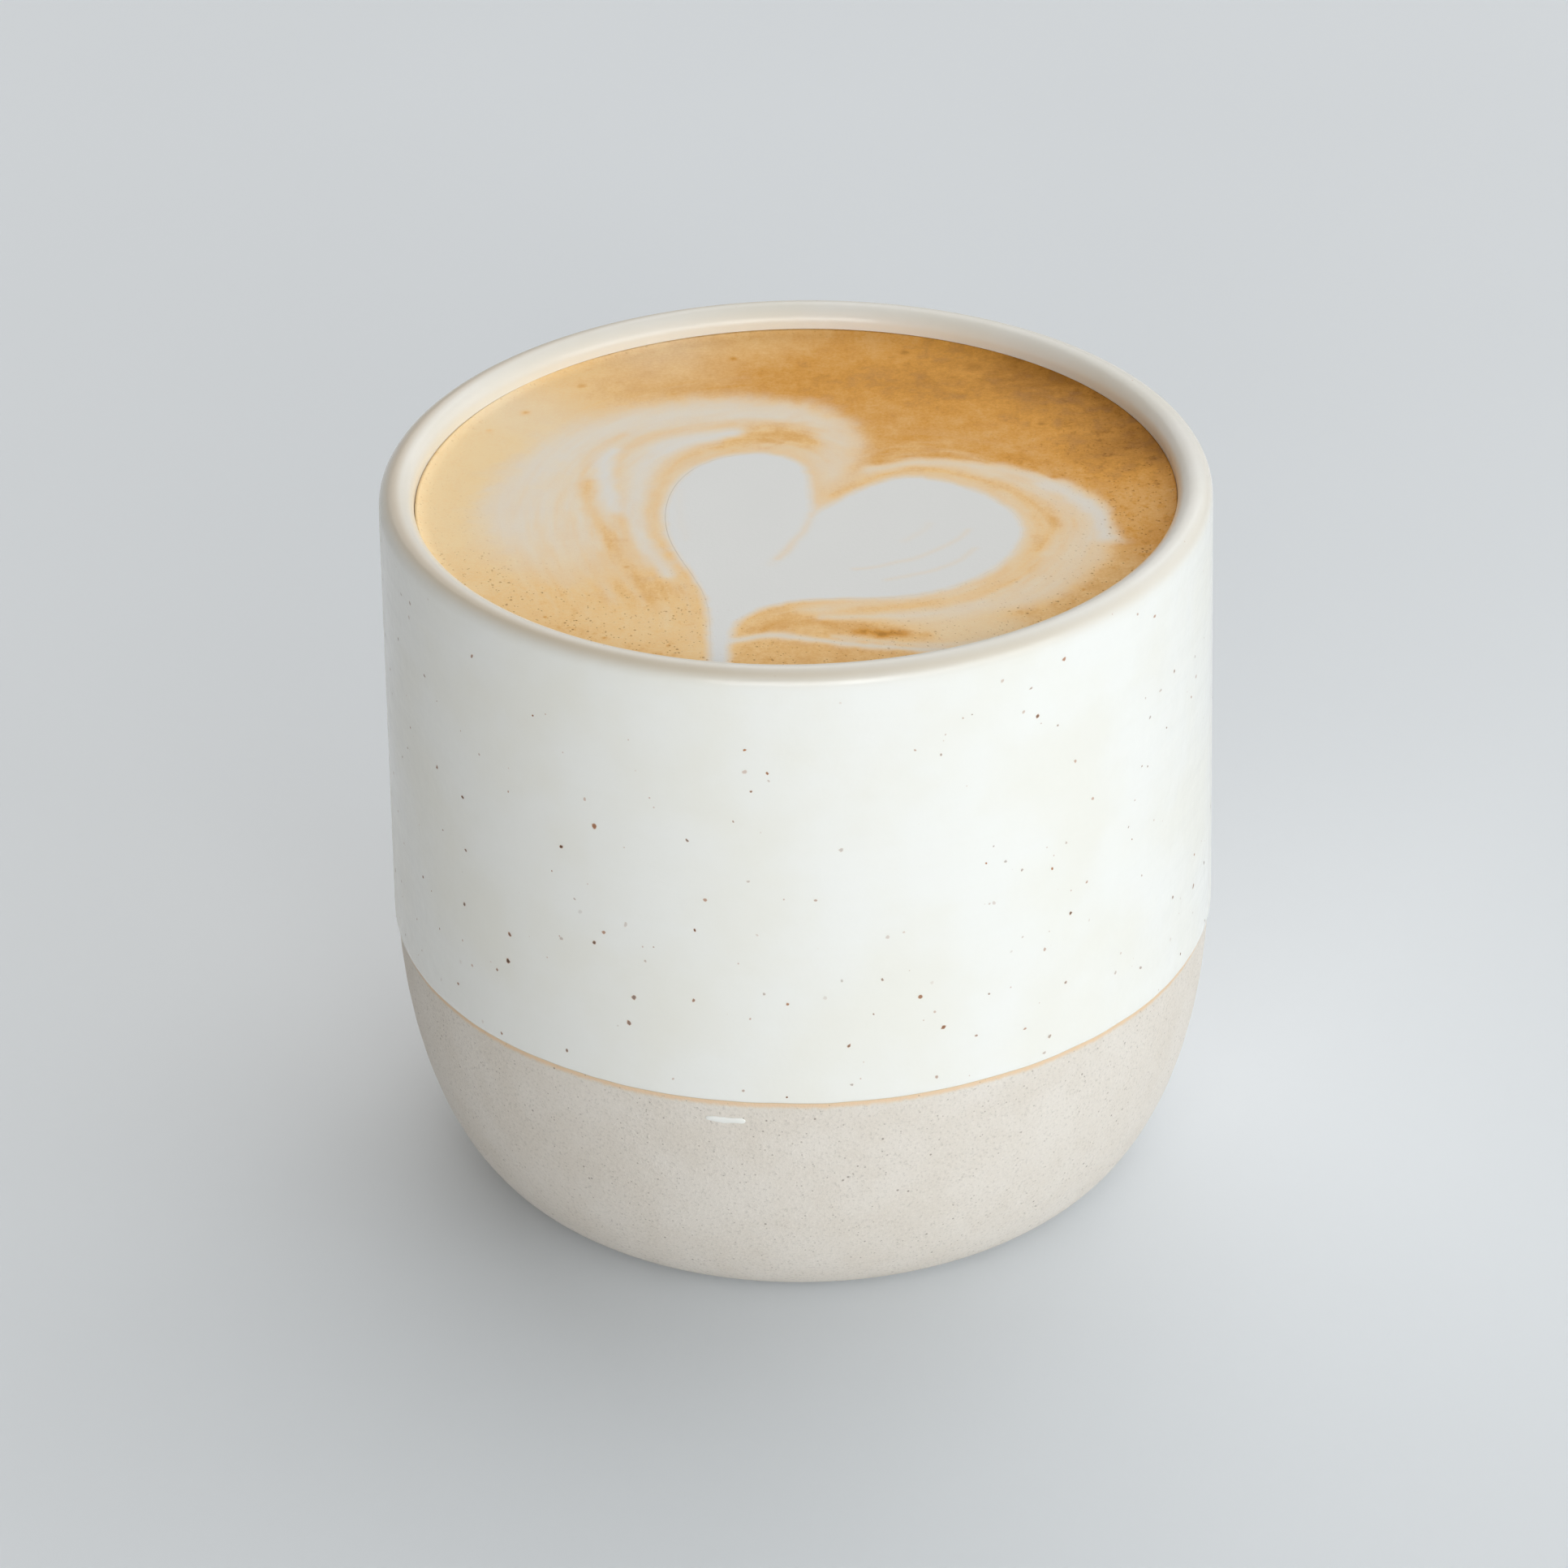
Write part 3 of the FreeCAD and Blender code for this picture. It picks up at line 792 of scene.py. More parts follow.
def marbling(points, inside):
    """Thin lines that run round the heart where the milk spread, from its outline outwards and
    fading in front: noise of the depth inside the outline and of the turn about the heart."""
    turn = np.arctan2(points[:, 1] + 6, points[:, 0] - 2)
    circle = np.column_stack([np.cos(turn), np.sin(turn)])
    lines = sum(strength * smooth_noise(np.column_stack([inside / across, along * circle]),
                                        1.0, seed) for across, along, strength, seed in FLOWS)
    reach = np.where(points[:, 0] < -4, 7.0, 0.0)
    beside = smooth_step(-11 - reach, -5 - reach, inside) * smooth_step(0.5, -0.5, inside)
    return lines * beside * smooth_step(-29, -17, points[:, 1])


def near_line(points, line, samples, width):
    """1 on a curve and exp(-(d / width)^2) at the distance d from it."""
    return np.exp(-(distance_to(points, curve_through(line, samples)) / width) ** 2)


def paint(points, edge):
    """The drink's pattern at points in millimetres: the milk, tone and bubbles of each. The
    veils, the strokes, the heart and the dots are laid over the bare crema in turn, each with a
    strength that fades with its distance."""
    moved = pushed(points)
    tone, milk, bubbles = bare_crema(moved)
    inside = depth_in_heart(points + 0.25 * (moved - points))
    flow = marbling(moved, inside)
    mottle = smooth_noise(moved, 1.5, 31) + 0.7 * smooth_noise(moved, 0.7, 32)

    def lay(amount, new_milk, new_tone):
        """Lays milk and tone over what is there, by an amount at each point."""
        nonlocal milk, tone
        milk = milk + amount * (new_milk - milk)
        tone = tone + amount * (new_tone - tone)

    # the two veils of thin milk: the left one fades towards the front
    veil = depth_inside(moved, closed_curve(VEIL, 160))
    from_front = smooth_step(-20.5, -5.0, moved[:, 1] + 0.6 * flow)
    soft_edge = smooth_step(-2.6, 3.0, veil + 0.2 * mottle + 0.7 * flow)
    lay(0.92 * from_front * soft_edge, 0.48, 0.12)
    right = depth_inside(moved, closed_curve(RIGHT_VEIL, 160))
    lay(0.9 * smooth_step(-1.2, 1.4, right + 0.1 * mottle + 0.3 * flow), 0.40, 0.14)
    for line, width, new_milk, new_tone, strength in STROKES:
        lay(strength * near_line(moved, line, 40, width * (1 + 0.22 * mottle)), new_milk, new_tone)
    tone = tone + 0.05 * mottle + 0.07 * flow
    milk = milk + 0.02 * mottle - 0.07 * flow
    # the heart's edge is soft from 0.85 mm outside of its outline to 0.5 mm inside it
    heart = smooth_step(-0.85, 0.50, inside + 0.10 * mottle + 0.12 * flow)
    for line, width, milk_left, strength in CREASES:
        heart = heart * (1 - strength * (1 - milk_left) * near_line(moved, line, 30, width))
    lay(heart, 1.0, 0.1)
    # dark dots and pits, and along the back-right wall painted shadow of the wall
    for x, y, radius, new_tone, strength in DOTS_AND_WALL_SHADOW:
        gap = np.hypot(*(moved - (x, y)).T)
        lay(strength * np.exp(-(gap / radius) ** 2), 0.0, new_tone)
    # milk closes the bubbles, and a rim of them stays along the wall
    covered = (1 - 0.8 * smooth_step(-1, 1, veil)) * (1 - 0.6 * smooth_step(-1, 1, right))
    wall = edge - np.hypot(*points.T)
    bubbles = (bubbles * covered * (1 - 0.93 * heart)
               + 0.35 * np.exp(-wall / 1.2) * (heart < 0.5))
    return {"milk": np.clip(milk, 0, 1), "tone": np.clip(tone, 0, 1),
            "bubbles": np.clip(bubbles, 0, 1)}


def face_edge(cup, drink):
    """Radius at which the drink's face meets the cup's wall."""
    return inner_radius(cup, drink.level + drink.meniscus_rise) - drink.clearance


def face_height(cup, drink, flat):
    """Height of the drink's face at places in metres: the level, a wave of a few hundredths of a
    millimetre, and a meniscus that climbs as (1 - d / width)^2.2 at the distance d from the
    wall."""
    from_wall = (face_edge(cup, drink) - np.hypot(*flat.T)) / drink.meniscus_width
    from_wall = np.clip(from_wall, 0, 1)
    wave = 0.02 * MM * smooth_noise(flat, 6 * MM, 41)
    return drink.level + drink.meniscus_rise * (1 - from_wall) ** 2.2 + wave * from_wall


def heart_hollow(drink, flat, start, end):
    """Depth of the hollow under the milk: it sinks with a smooth step between two distances
    inside the heart's outline."""
    return drink.heart_depth * smooth_step(start, end, depth_in_heart(flat / MM) * MM)


def heart_sheet(rows, half_columns):
    """Places in millimetres over the heart, from the notch to the tail's end. For each share t
    of the way, straight lines join the left side to the middle line and that to the right side;
    the place on the middle line is at its share t^2.4, as it starts slowly between the lobes.
    The columns at the border are close together, so that its shading stays off the face."""
    left, right = heart_sides(rows)
    fine = curve_through(HEART_MIDDLE, 2000)
    way = np.linspace(0, 1, rows) ** 2.4
    middle = np.column_stack([np.interp(way, np.linspace(0, 1, 2000), axis) for axis in fine.T])
    share = np.concatenate([[0, 0.002], np.linspace(0.02, 1, half_columns - 1)])[None, :, None]
    left_half = left[:, None] * (1 - share) + middle[:, None] * share
    right_half = middle[:, None] * share[:, ::-1] + right[:, None] * (1 - share[:, ::-1])
    return np.concatenate([left_half, right_half[:, 1:]], axis=1)


# --- the turned pieces ------------------------------------------------------------------------
def round_the_cup(cup):
    """The angles of the cup's columns."""
    return np.arange(cup.segments)[None, :] * TURN / cup.segments


def stacked(cup, *parts):
    """The rows of a profile's parts as one grid of rows by the cup's columns. A part is a list
    that holds all round, or a grid that changes round the cup."""
    grids = [part[:, None] if part.ndim == 1 else part for part in parts]
    return np.concatenate([np.broadcast_to(grid, (len(grid), cup.segments)) for grid in grids])


def rim_place(cup):
    """Height and radius of the centre of the rim's half round."""
    return cup.height - cup.rim_thickness / 2, cup.rim_radius - cup.rim_thickness / 2


def rim_rows(cup, inset, steps):
    """Radius and height over the half-round rim from the outside in, inset under the glaze's
    face and without the two ends."""
    base, centre = rim_place(cup)
    turn = np.linspace(0, math.pi, steps)[1:-1]
    half = cup.rim_thickness / 2 - inset
    return centre + half * np.cos(turn), base + half * np.sin(turn)


def foot_rows(cup):
    """Radius and height over the underside, from the axis out: the recess, the ring's sloping
    inner side as a smooth step, and the flat that the cup stands on."""
    ring_inside = cup.foot_radius - cup.ring_width
    recess_edge = ring_inside - cup.recess_slope
    radius = np.concatenate([
        np.linspace(0, recess_edge - 0.4 * MM, 14), [recess_edge, recess_edge + 0.3 * MM],
        np.linspace(recess_edge + 0.5 * MM, ring_inside - 0.3 * MM, 4),
        [ring_inside, ring_inside + 0.5 * MM],
        np.linspace(ring_inside + MM, cup.foot_radius - 0.4 * MM, 5)])
    slope = smooth_step(recess_edge - 0.3 * MM, ring_inside + 0.4 * MM, radius)
    return radius, cup.recess * (1 - slope)


BOTTOM_STEPS = 84
FINE_BELOW = 1.4 * MM                       # below the glaze's edge, where the rows are close


def bottom_rows(cup, edge, inset):
    """Radius and height up the rounded bottom, in equal turns of its quarter ellipse, to where
    the close rows beside the glaze's edge begin."""
    depth = np.clip((cup.belly_height - edge + FINE_BELOW) / cup.belly_height, 0, 1)
    turn = np.linspace(0, 1, BOTTOM_STEPS)[:, None] * np.arccos(depth)
    half_width = cup.belly_radius - inset - cup.foot_radius
    return cup.foot_radius + half_width * np.sin(turn), cup.belly_height * (1 - np.cos(turn))


def close_profile(vertices, rows, columns):
    """Faces of a turned surface whose first and last rows lie on the axis: each of them becomes
    one pole vertex with a fan round it."""
    body = vertices[1:-1].reshape(-1, 3)
    poles = np.stack([vertices[0].mean(axis=0), vertices[-1].mean(axis=0)])
    quads = grid_faces(rows - 2, columns, True)
    first = len(body)
    start = fan_faces(np.arange(columns), first, True)
    end = fan_faces((rows - 3) * columns + np.arange(columns), first + 1, False)
    return np.concatenate([body, poles]), quads, np.concatenate([start, end])


class CORTADO_OT_clay_body(bpy.types.Operator):
    """Builds the thrown clay body, bare below the glaze line"""
    bl_idname = "cortado.clay_body"
    bl_label = "Clay body"

    def execute(self, context):
        scene = context.scene
        cup, glaze, clay = scene.cortado_cup, scene.cortado_glaze, scene.cortado_clay
        angle = round_the_cup(cup)
        edge = glaze_edge(cup, glaze, angle)
        inset = glaze.thickness
        foot_radius, foot_height = foot_rows(cup)
        low_radius, low_height = bottom_rows(cup, edge, inset)
        near = edge - np.linspace(FINE_BELOW - 0.1 * MM, -0.2 * MM, 17)[:, None]
        up = edge + np.linspace(0.001, 1, 8)[:, None] * (rim_place(cup)[0] - edge)
        rim_radius, rim_height = rim_rows(cup, inset, 12)
        in_radius, in_height = inside_path(cup, -inset, (5, 8, 3))
        radius = stacked(cup, foot_radius, low_radius, outer_radius(cup, near, inset),
                         outer_radius(cup, up, inset), rim_radius, in_radius)
        height = stacked(cup, foot_height, low_height, near, up, rim_height, in_height)
        vertices = turned_points(cup, radius, height, angle)
        below = (edge - height) / clay.toast_width
        toast = np.where(below > -0.5, np.exp(-np.clip(below, 0, None) ** 1.6), 0)
        points, quads, triangles = close_profile(vertices, len(radius), cup.segments)
        piece = make_piece("clay_body", points, quads, triangles, clay_material(clay),
                           {"toast": np.concatenate([toast[1:-1].ravel(), [0, 0]])})
        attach(piece, "root")
        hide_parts("cup")
        return {"FINISHED"}


# Steps of the glaze's face: round its lip, up the wall and over the rim.
LIP_STEPS, WALL_STEPS, RIM_STEPS = 8, 66, 23
# Thin glaze over the rim, partly the glaze breaking there and partly painted shade: width of the
# crest in degrees over the rim, the least amount inside of it, and how far down the wall it
# reaches.
CREST_WIDTH, THIN_INSIDE, THIN_REACH = 31, 0.40, 6 * MM


def glaze_front(cup, glaze, edge):
    """Radius and height over the glaze's face: round its lip, up the wall, over the rim and down
    the inner side to just before the floor's middle."""
    lip_turn = np.linspace(0, math.pi / 2, LIP_STEPS)[:, None]
    lip_height = edge + glaze.edge_round * (1 - np.cos(lip_turn))
    lip_inset = glaze.thickness * (1 - np.sin(lip_turn)) + 0.02 * MM * np.cos(lip_turn)
    climb = np.linspace(0, 1, WALL_STEPS)[1:, None]
    wall_height = lip_height[-1:] + climb * (rim_place(cup)[0] - lip_height[-1:])
    rim_radius, rim_height = rim_rows(cup, 0, RIM_STEPS)
    in_radius, in_height = inside_path(cup, 0, (14, 8, 3))
    return (stacked(cup, outer_radius(cup, lip_height, lip_inset),
                    outer_radius(cup, wall_height, 0.0), rim_radius, in_radius[:-1]),
            stacked(cup, lip_height, wall_height, rim_height, in_height[:-1]))


def glaze_back(cup, glaze, edge):
    """Radius and height under the glaze, the other way: from just beside the floor's middle up
    the inner side, over the rim and down the wall to the glaze's edge."""
    in_radius, in_height = inside_path(cup, -glaze.thickness, (5, 7, 3))
    rim_radius, rim_height = rim_rows(cup, glaze.thickness, RIM_STEPS)
    wall_height = edge + np.linspace(1, 0, 8)[:-1, None] * (rim_place(cup)[0] - edge)
    return (stacked(cup, in_radius[-2::-1], rim_radius[::-2],
                    outer_radius(cup, wall_height, glaze.thickness)),
            stacked(cup, in_height[-2::-1], rim_height[::-2], wall_height))


def round_swing(turn, middle, swing, highest):
    """A value that goes up and down once round the cup, highest at an angle in degrees."""
    return middle + swing * np.cos(turn - math.radians(highest))


def thin_glaze_and_shade(cup, points):
    """How thin the glaze has run over the rim, with painted shade laid on it: exp(-((lean - crest)
    / width)^2) of the angle over the rim's half round in degrees, and no less than a share of that
    inside of the crest. The crest and the amount swing once round the cup; the amount is highest
    at
    -170 degrees, the cup's left side away from the lamps, where it is painted shade."""
    base, centre = rim_place(cup)
    turn = np.arctan2(points[:, 1], points[:, 0])
    lean = np.degrees(np.arctan2(points[:, 2] - base, np.hypot(*points[:, :2].T) - centre))
    crest = round_swing(turn, 60, 20, 170)
    break_and_shade = np.exp(-((lean - crest) / CREST_WIDTH) ** 2)
    break_and_shade = np.where(lean > crest, np.maximum(break_and_shade, THIN_INSIDE), break_and_shade)
    break_and_shade *= smooth_step(-THIN_REACH, 0.0, points[:, 2] - base)
    # painted shade: the amount swings highest on the cup's left side, away from the lamps
    return break_and_shade * round_swing(turn, 0.72, 0.28, -170)


class CORTADO_OT_glaze_coat(bpy.types.Operator):
    """Builds the glaze as a thin closed coat over the wall, the rim and the inside"""
    bl_idname = "cortado.glaze_coat"
    bl_label = "Glaze coat"

    def execute(self, context):
        scene = context.scene
        cup, glaze = scene.cortado_cup, scene.cortado_glaze
        angle = round_the_cup(cup)
        edge = glaze_edge(cup, glaze, angle)
        front = turned_points(cup, *glaze_front(cup, glaze, edge), angle)
        back = turned_points(cup, *glaze_back(cup, glaze, edge), angle)
        columns = cup.segments
        body = np.concatenate([front, back]).reshape(-1, 3)
        poles = [[0, 0, cup.floor_height], [0, 0, cup.floor_height - glaze.thickness]]
        ring = np.arange(columns)
        after = np.roll(ring, -1)
        first_back = len(front) * columns
        last_row = first_back + (len(back) - 1) * columns
        quads = np.concatenate([
            grid_faces(len(front), columns, True),
            grid_faces(len(back), columns, True, first_back),
            np.stack([last_row + ring, last_row + after, after, ring], -1)])
        triangles = np.concatenate([
            fan_faces(first_back - columns + ring, len(body), False),
            fan_faces(first_back + ring, len(body) + 1, True)])
        # the thin glaze's value, which also carries the painted shade on the rim
        values = {"thin_and_shade": np.concatenate([thin_glaze_and_shade(cup, body), [0, 0]])}
        piece = make_piece("glaze_coat", np.concatenate([body, poles]), quads,
                           triangles, glaze_material(glaze), values)
        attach(piece, "root")
        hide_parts("cup")
        return {"FINISHED"}


# The specks that catch the eye: angle round the cup in degrees, height and radius in
# millimetres, darkness, and rust from none (0) to full (1).
MARKED_SPECKS = (
    (-118.9, 50.4, 0.46, 0.95, 0.75), (-133.9, 36.4, 0.34, 0.95, 0.3),
    (-134.4, 33.6, 0.36, 1.0, 0.0), (-74.6, 34.7, 0.34, 0.9, 0.7),
    (-71.4, 31.2, 0.32, 0.95, 0.5), (-97.6, 57.8, 0.30, 0.45, 0.9),
    (-62.3, 64.0, 0.28, 0.4, 0.8), (-139.7, 62.6, 0.30, 0.8, 0.5),
    (-117.9, 40.0, 0.30, 0.8, 0.8), (-52.4, 64.1, 0.30, 0.85, 0.9),
    (-124.3, 47.4, 0.28, 1.0, 0.1), (-103.3, 45.0, 0.30, 0.75, 0.9),
    (-105.2, 34.8, 0.28, 0.85, 0.5), (-55.1, 27.2, 0.27, 0.6, 0.3),
    (-120.3, 52.8, 0.26, 0.5, 0.9), (-42.8, 30.4, 0.26, 0.4, 0.5),
    (-59.1, 60.4, 0.26, 0.45, 0.9), (-142.9, 47.8, 0.28, 0.95, 0.1),
    (-50.5, 53.7, 0.26, 0.6, 1.0), (-136.7, 32.1, 0.27, 0.85, 0.4),
    (-33.8, 63.4, 0.27, 0.7, 0.9), (-84.4, 30.6, 0.27, 0.9, 0.4),
    (-28.3, 33.5, 0.27, 0.7, 0.3), (-119.5, 38.7, 0.27, 0.95, 0.1),
    (-51.4, 38.8, 0.26, 0.95, 0.1), (-28.0, 56.2, 0.28, 0.7, 0.4),
    (-145.8, 28.0, 0.27, 0.85, 0.5), (-47.3, 49.2, 0.25, 0.6, 1.0),
    (-52.3, 32.0, 0.25, 0.7, 0.3),
)

# How a speck is built: shares of its radius, spokes, and how far it stands off the glaze.
SPECK_RINGS = (0.42, 0.72, 1.0)
SPECK_SPOKES = 8
SPECK_LIFT = 0.012 * MM
MM_PER_DEGREE = 0.65                        # along the glaze, round the cup
CLEAR_OF_MARKED = 1.6                       # millimetres
# Where the dash of glaze starts round the cup, the clay's radius there, and how far the dash
# stands off the clay and sinks into it.
DASH_START, DASH_RADIUS = math.radians(-104.1), 36.9 * MM
DASH_SWELL, DASH_SINK = 0.13 * MM, 0.06 * MM


def scattered_specks(cup, glaze, rng):
    """Angle, height, size, darkness and rust of every speck: seeded scatter over the glaze, a
    little denser below, kept clear of the marked specks, which come last."""
    count = glaze.speck_count
    room = rim_place(cup)[0] - glaze.line_height - MM
    climb = rng.random(count) ** 1.25
    angle = rng.random(count) * TURN
    height = glaze.line_height + 0.7 * MM + climb * room
    size = glaze.speck_radius * np.exp(0.30 * rng.standard_normal(count)).clip(0.5, 1.9)
    dark = np.clip(rng.beta(1.5, 1.7, count) + 0.12, 0, 1)
    rust = np.clip(rng.beta(1.2, 1.2, count), 0, 1)
    marked = np.array(MARKED_SPECKS)
    away = np.abs((np.degrees(angle)[:, None] - marked[:, 0] + 180) % 360 - 180)
    gap = np.hypot(away * MM_PER_DEGREE, height[:, None] / MM - marked[:, 1])
    clear = (gap > CLEAR_OF_MARKED).all(axis=1)
    scattered = np.column_stack([angle, height, size, dark, rust])[clear]
    placed = marked * (TURN / 360, MM, 0.85 * MM, 1, 1)
    return np.concatenate([scattered, placed]).T


def speck_patches(size, rng):
    """Flat places of each speck's vertices, across and up: rings of spokes with a ragged reach,
    stretched one way, turned by a random angle, and then the centre."""
    total = len(size)
    spoke = np.arange(SPECK_SPOKES) * TURN / SPECK_SPOKES
    lobes = 1 + 0.16 * rng.standard_normal((total, SPECK_SPOKES)).clip(-1.5, 1.5)
    stretch = rng.uniform(0.8, 1.25, total)[:, None, None]
    tilt = rng.random(total)[:, None, None] * math.pi
    reach = size[:, None, None] * np.array(SPECK_RINGS)[None, :, None] * lobes[:, None, :]
    across = reach * np.cos(spoke) * stretch
    upward = reach * np.sin(spoke) / stretch
    turned = (across * np.cos(tilt) - upward * np.sin(tilt),
              across * np.sin(tilt) + upward * np.cos(tilt))
    return [np.column_stack([places.reshape(total, -1), np.zeros(total)]) for places in turned]


class CORTADO_OT_glaze_specks(bpy.types.Operator):
    """Scatters the iron specks that have melted into the glaze"""
    bl_idname = "cortado.glaze_specks"
    bl_label = "Glaze specks"

    def execute(self, context):
        scene = context.scene
        cup, glaze = scene.cortado_cup, scene.cortado_glaze
        rng = np.random.default_rng(5)
        angle, height, size, dark, rust = scattered_specks(cup, glaze, rng)
        across, up = speck_patches(size, rng)
        height = height[:, None] + up
        face = outer_radius(cup, height, 0.0)
        angle = angle[:, None] + across / face
        radius = thrown(cup, face, height, angle) + SPECK_LIFT
        vertices = np.stack([radius * np.cos(angle), radius * np.sin(angle), height], -1)
        each = SPECK_SPOKES * len(SPECK_RINGS) + 1
        first = (np.arange(len(size)) * each)[:, None, None]
        quads = grid_faces(len(SPECK_RINGS), SPECK_SPOKES, True) + first
        centre = fan_faces(np.arange(SPECK_SPOKES), each - 1, True) + first
        iron = np.concatenate([np.repeat([0.85, 0.40, 0.0], SPECK_SPOKES), [1.0]])
        values = {"iron": np.tile(iron, len(size)), "rust": np.repeat(rust, each),
                  "strength": np.repeat(dark, each)}
        piece = make_piece("glaze_specks", vertices.reshape(-1, 3),
                           quads.reshape(-1, 4)[:, ::-1], centre.reshape(-1, 3)[:, ::-1],
                           glaze_material(glaze), values)
        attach(piece, "root")
        return {"FINISHED"}


class CORTADO_OT_glaze_dash(bpy.types.Operator):
    """Lays the short raised dash of glaze that dripped on the bare clay"""
    bl_idname = "cortado.glaze_dash"
    bl_label = "Glaze dash"

    def execute(self, context):
        scene = context.scene
        cup, glaze = scene.cortado_cup, scene.cortado_glaze
        rows, columns = 61, 15
        along = np.linspace(0, 1, rows)[:, None]
        across = np.sin(np.linspace(-math.pi / 2, math.pi / 2, columns))[None, :]
        middle = glaze.dash_height + 0.03 * MM * np.sin(9.0 * along + 0.6)
        ragged = smooth_noise(along * (9, 0) + (0, 0.5), 1.0, 71)[:, None]
        full = (1 - np.abs(2 * along - 1) ** 8) ** 0.5 * (0.84 + 0.16 * along)
        height = middle + glaze.dash_width / 2 * full * (1 + 0.22 * ragged) * across
        clay_face = outer_radius(cup, height, glaze.thickness)
        angle = DASH_START + along * glaze.dash_length / DASH_RADIUS
        swell = np.sqrt(np.clip(1 - across ** 2, 0, 1)) * full
        top = turned_points(cup, clay_face + DASH_SWELL * swell, height, angle)
        low = turned_points(cup, clay_face - DASH_SINK * swell, height, angle)
        inner = np.zeros((rows, columns), dtype=bool)
        inner[1:-1, 1:-1] = True
        vertices, quads = two_faced(top.reshape(-1, 3), low[inner], inner.ravel(),
                                    grid_faces(rows, columns, False))
        piece = make_piece("glaze_dash", vertices, quads, NO_TRIANGLES, glaze_material(glaze))
        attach(piece, "root")
        return {"FINISHED"}


# --- the drink and its milk -------------------------------------------------------------------
FOAM_LIFT = 0.012 * MM                      # of the milk's face over the drink's
FOAM_DEPTH = 0.97                           # share of the hollow that the milk fills
HEART_ROWS, HALF_HEART_COLUMNS = 260, 60


def round_grid(radius, steps):
    """A square grid pressed into a disc: (u sqrt(1 - v^2 / 2), v sqrt(1 - u^2 / 2)) times the
    radius, for u and v from -1 to 1."""
    side = np.linspace(-1, 1, steps + 1)
    u, v = np.meshgrid(side, side)
    disc = np.stack([u * np.sqrt(1 - v ** 2 / 2), v * np.sqrt(1 - u ** 2 / 2)], -1)
    return radius * disc.reshape(-1, 2)


def grid_border(steps):
    """The vertices round a square grid, in one turn."""
    index = np.arange((steps + 1) ** 2).reshape(steps + 1, steps + 1)
    return np.concatenate([index[0, :-1], index[:-1, -1], index[-1, :0:-1], index[:0:-1, 0]])


class CORTADO_OT_coffee(bpy.types.Operator):
    """Builds the drink: its patterned face with a fine meniscus, and its body in the cup"""
    bl_idname = "cortado.coffee"
    bl_label = "Coffee"

    def execute(self, context):
        scene = context.scene
        cup, drink = scene.cortado_cup, scene.cortado_drink
        edge = face_edge(cup, drink)
        flat = round_grid(edge, drink.steps)
        hollow = heart_hollow(drink, flat, 0.15 * MM, 1.6 * MM)
        top = np.column_stack([flat, face_height(cup, drink, flat) - hollow])
        border = grid_border(drink.steps)
        radius, height = inside_path(cup, drink.clearance, (4, 6, 3))
        keep = height < drink.level - MM
        radius, height = radius[keep][:-1], height[keep][:-1]
        outward = top[border, :2] / np.linalg.norm(top[border, :2], axis=1)[:, None]
        heights = np.broadcast_to(height[:, None, None], (len(height), len(border), 1))
        rings = np.concatenate([outward * radius[:, None, None], heights], -1)
        vertices = np.concatenate([top, rings.reshape(-1, 3), [[0, 0, height[-1]]]])
        first, count = len(top), len(border)
        ring = first + np.arange(count)
        collar = np.stack([border, ring, np.roll(ring, -1), np.roll(border, -1)], -1)
        quads = np.concatenate([grid_faces(drink.steps + 1, drink.steps + 1, False), collar,
                                grid_faces(len(radius), count, True, first)[:, ::-1]])
        last_ring = ring + (len(radius) - 1) * count
        triangles = fan_faces(last_ring, len(vertices) - 1, True)
        values = paint(vertices[:, :2] / MM, edge / MM)
        piece = make_piece("coffee", vertices, quads, triangles, foam_material(drink), values)
        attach(piece, "root")
        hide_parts("drink")
        return {"FINISHED"}


class CORTADO_OT_milk_heart(bpy.types.Operator):
    """Builds the poured heart of milk as a thin body with a feathered edge"""
    bl_idname = "cortado.milk_heart"
    bl_label = "Milk heart"

    def execute(self, context):
        scene = context.scene
        cup, drink = scene.cortado_cup, scene.cortado_drink
        sheet = heart_sheet(HEART_ROWS, HALF_HEART_COLUMNS)[1:] * MM
        rows, columns = sheet.shape[:2]
        flat = sheet.reshape(-1, 2)
        inner = np.zeros((rows, columns), dtype=bool)
        inner[:-1, 1:-1] = True
        inner = inner.ravel()
        notch = NOTCH[None] * MM
        top = np.column_stack([flat, face_height(cup, drink, flat) + FOAM_LIFT])
        tip = np.column_stack([notch, face_height(cup, drink, notch) + FOAM_LIFT])
        under = flat[inner]
        sink = FOAM_DEPTH * heart_hollow(drink, under, 0.25 * MM, 1.7 * MM)
        bottom = np.column_stack([under, face_height(cup, drink, under) + FOAM_LIFT / 3 - sink])
        vertices, quads = two_faced(top, bottom, inner, grid_faces(rows, columns, False))
        below = lower_side(inner)
        first = np.arange(columns)
        pole = np.full(columns - 1, len(vertices))
        fans = np.concatenate([np.stack([first[:-1], first[1:], pole], -1),
                               np.stack([below[first[1:]], below[first[:-1]], pole], -1)])
        vertices = np.concatenate([vertices, tip])
        values = paint(vertices[:, :2] / MM, face_edge(cup, drink) / MM)
        piece = make_piece("milk_heart_foam", vertices, quads, fans, foam_material(drink), values)
        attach(piece, "root")
        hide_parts("milk_heart")
        return {"FINISHED"}


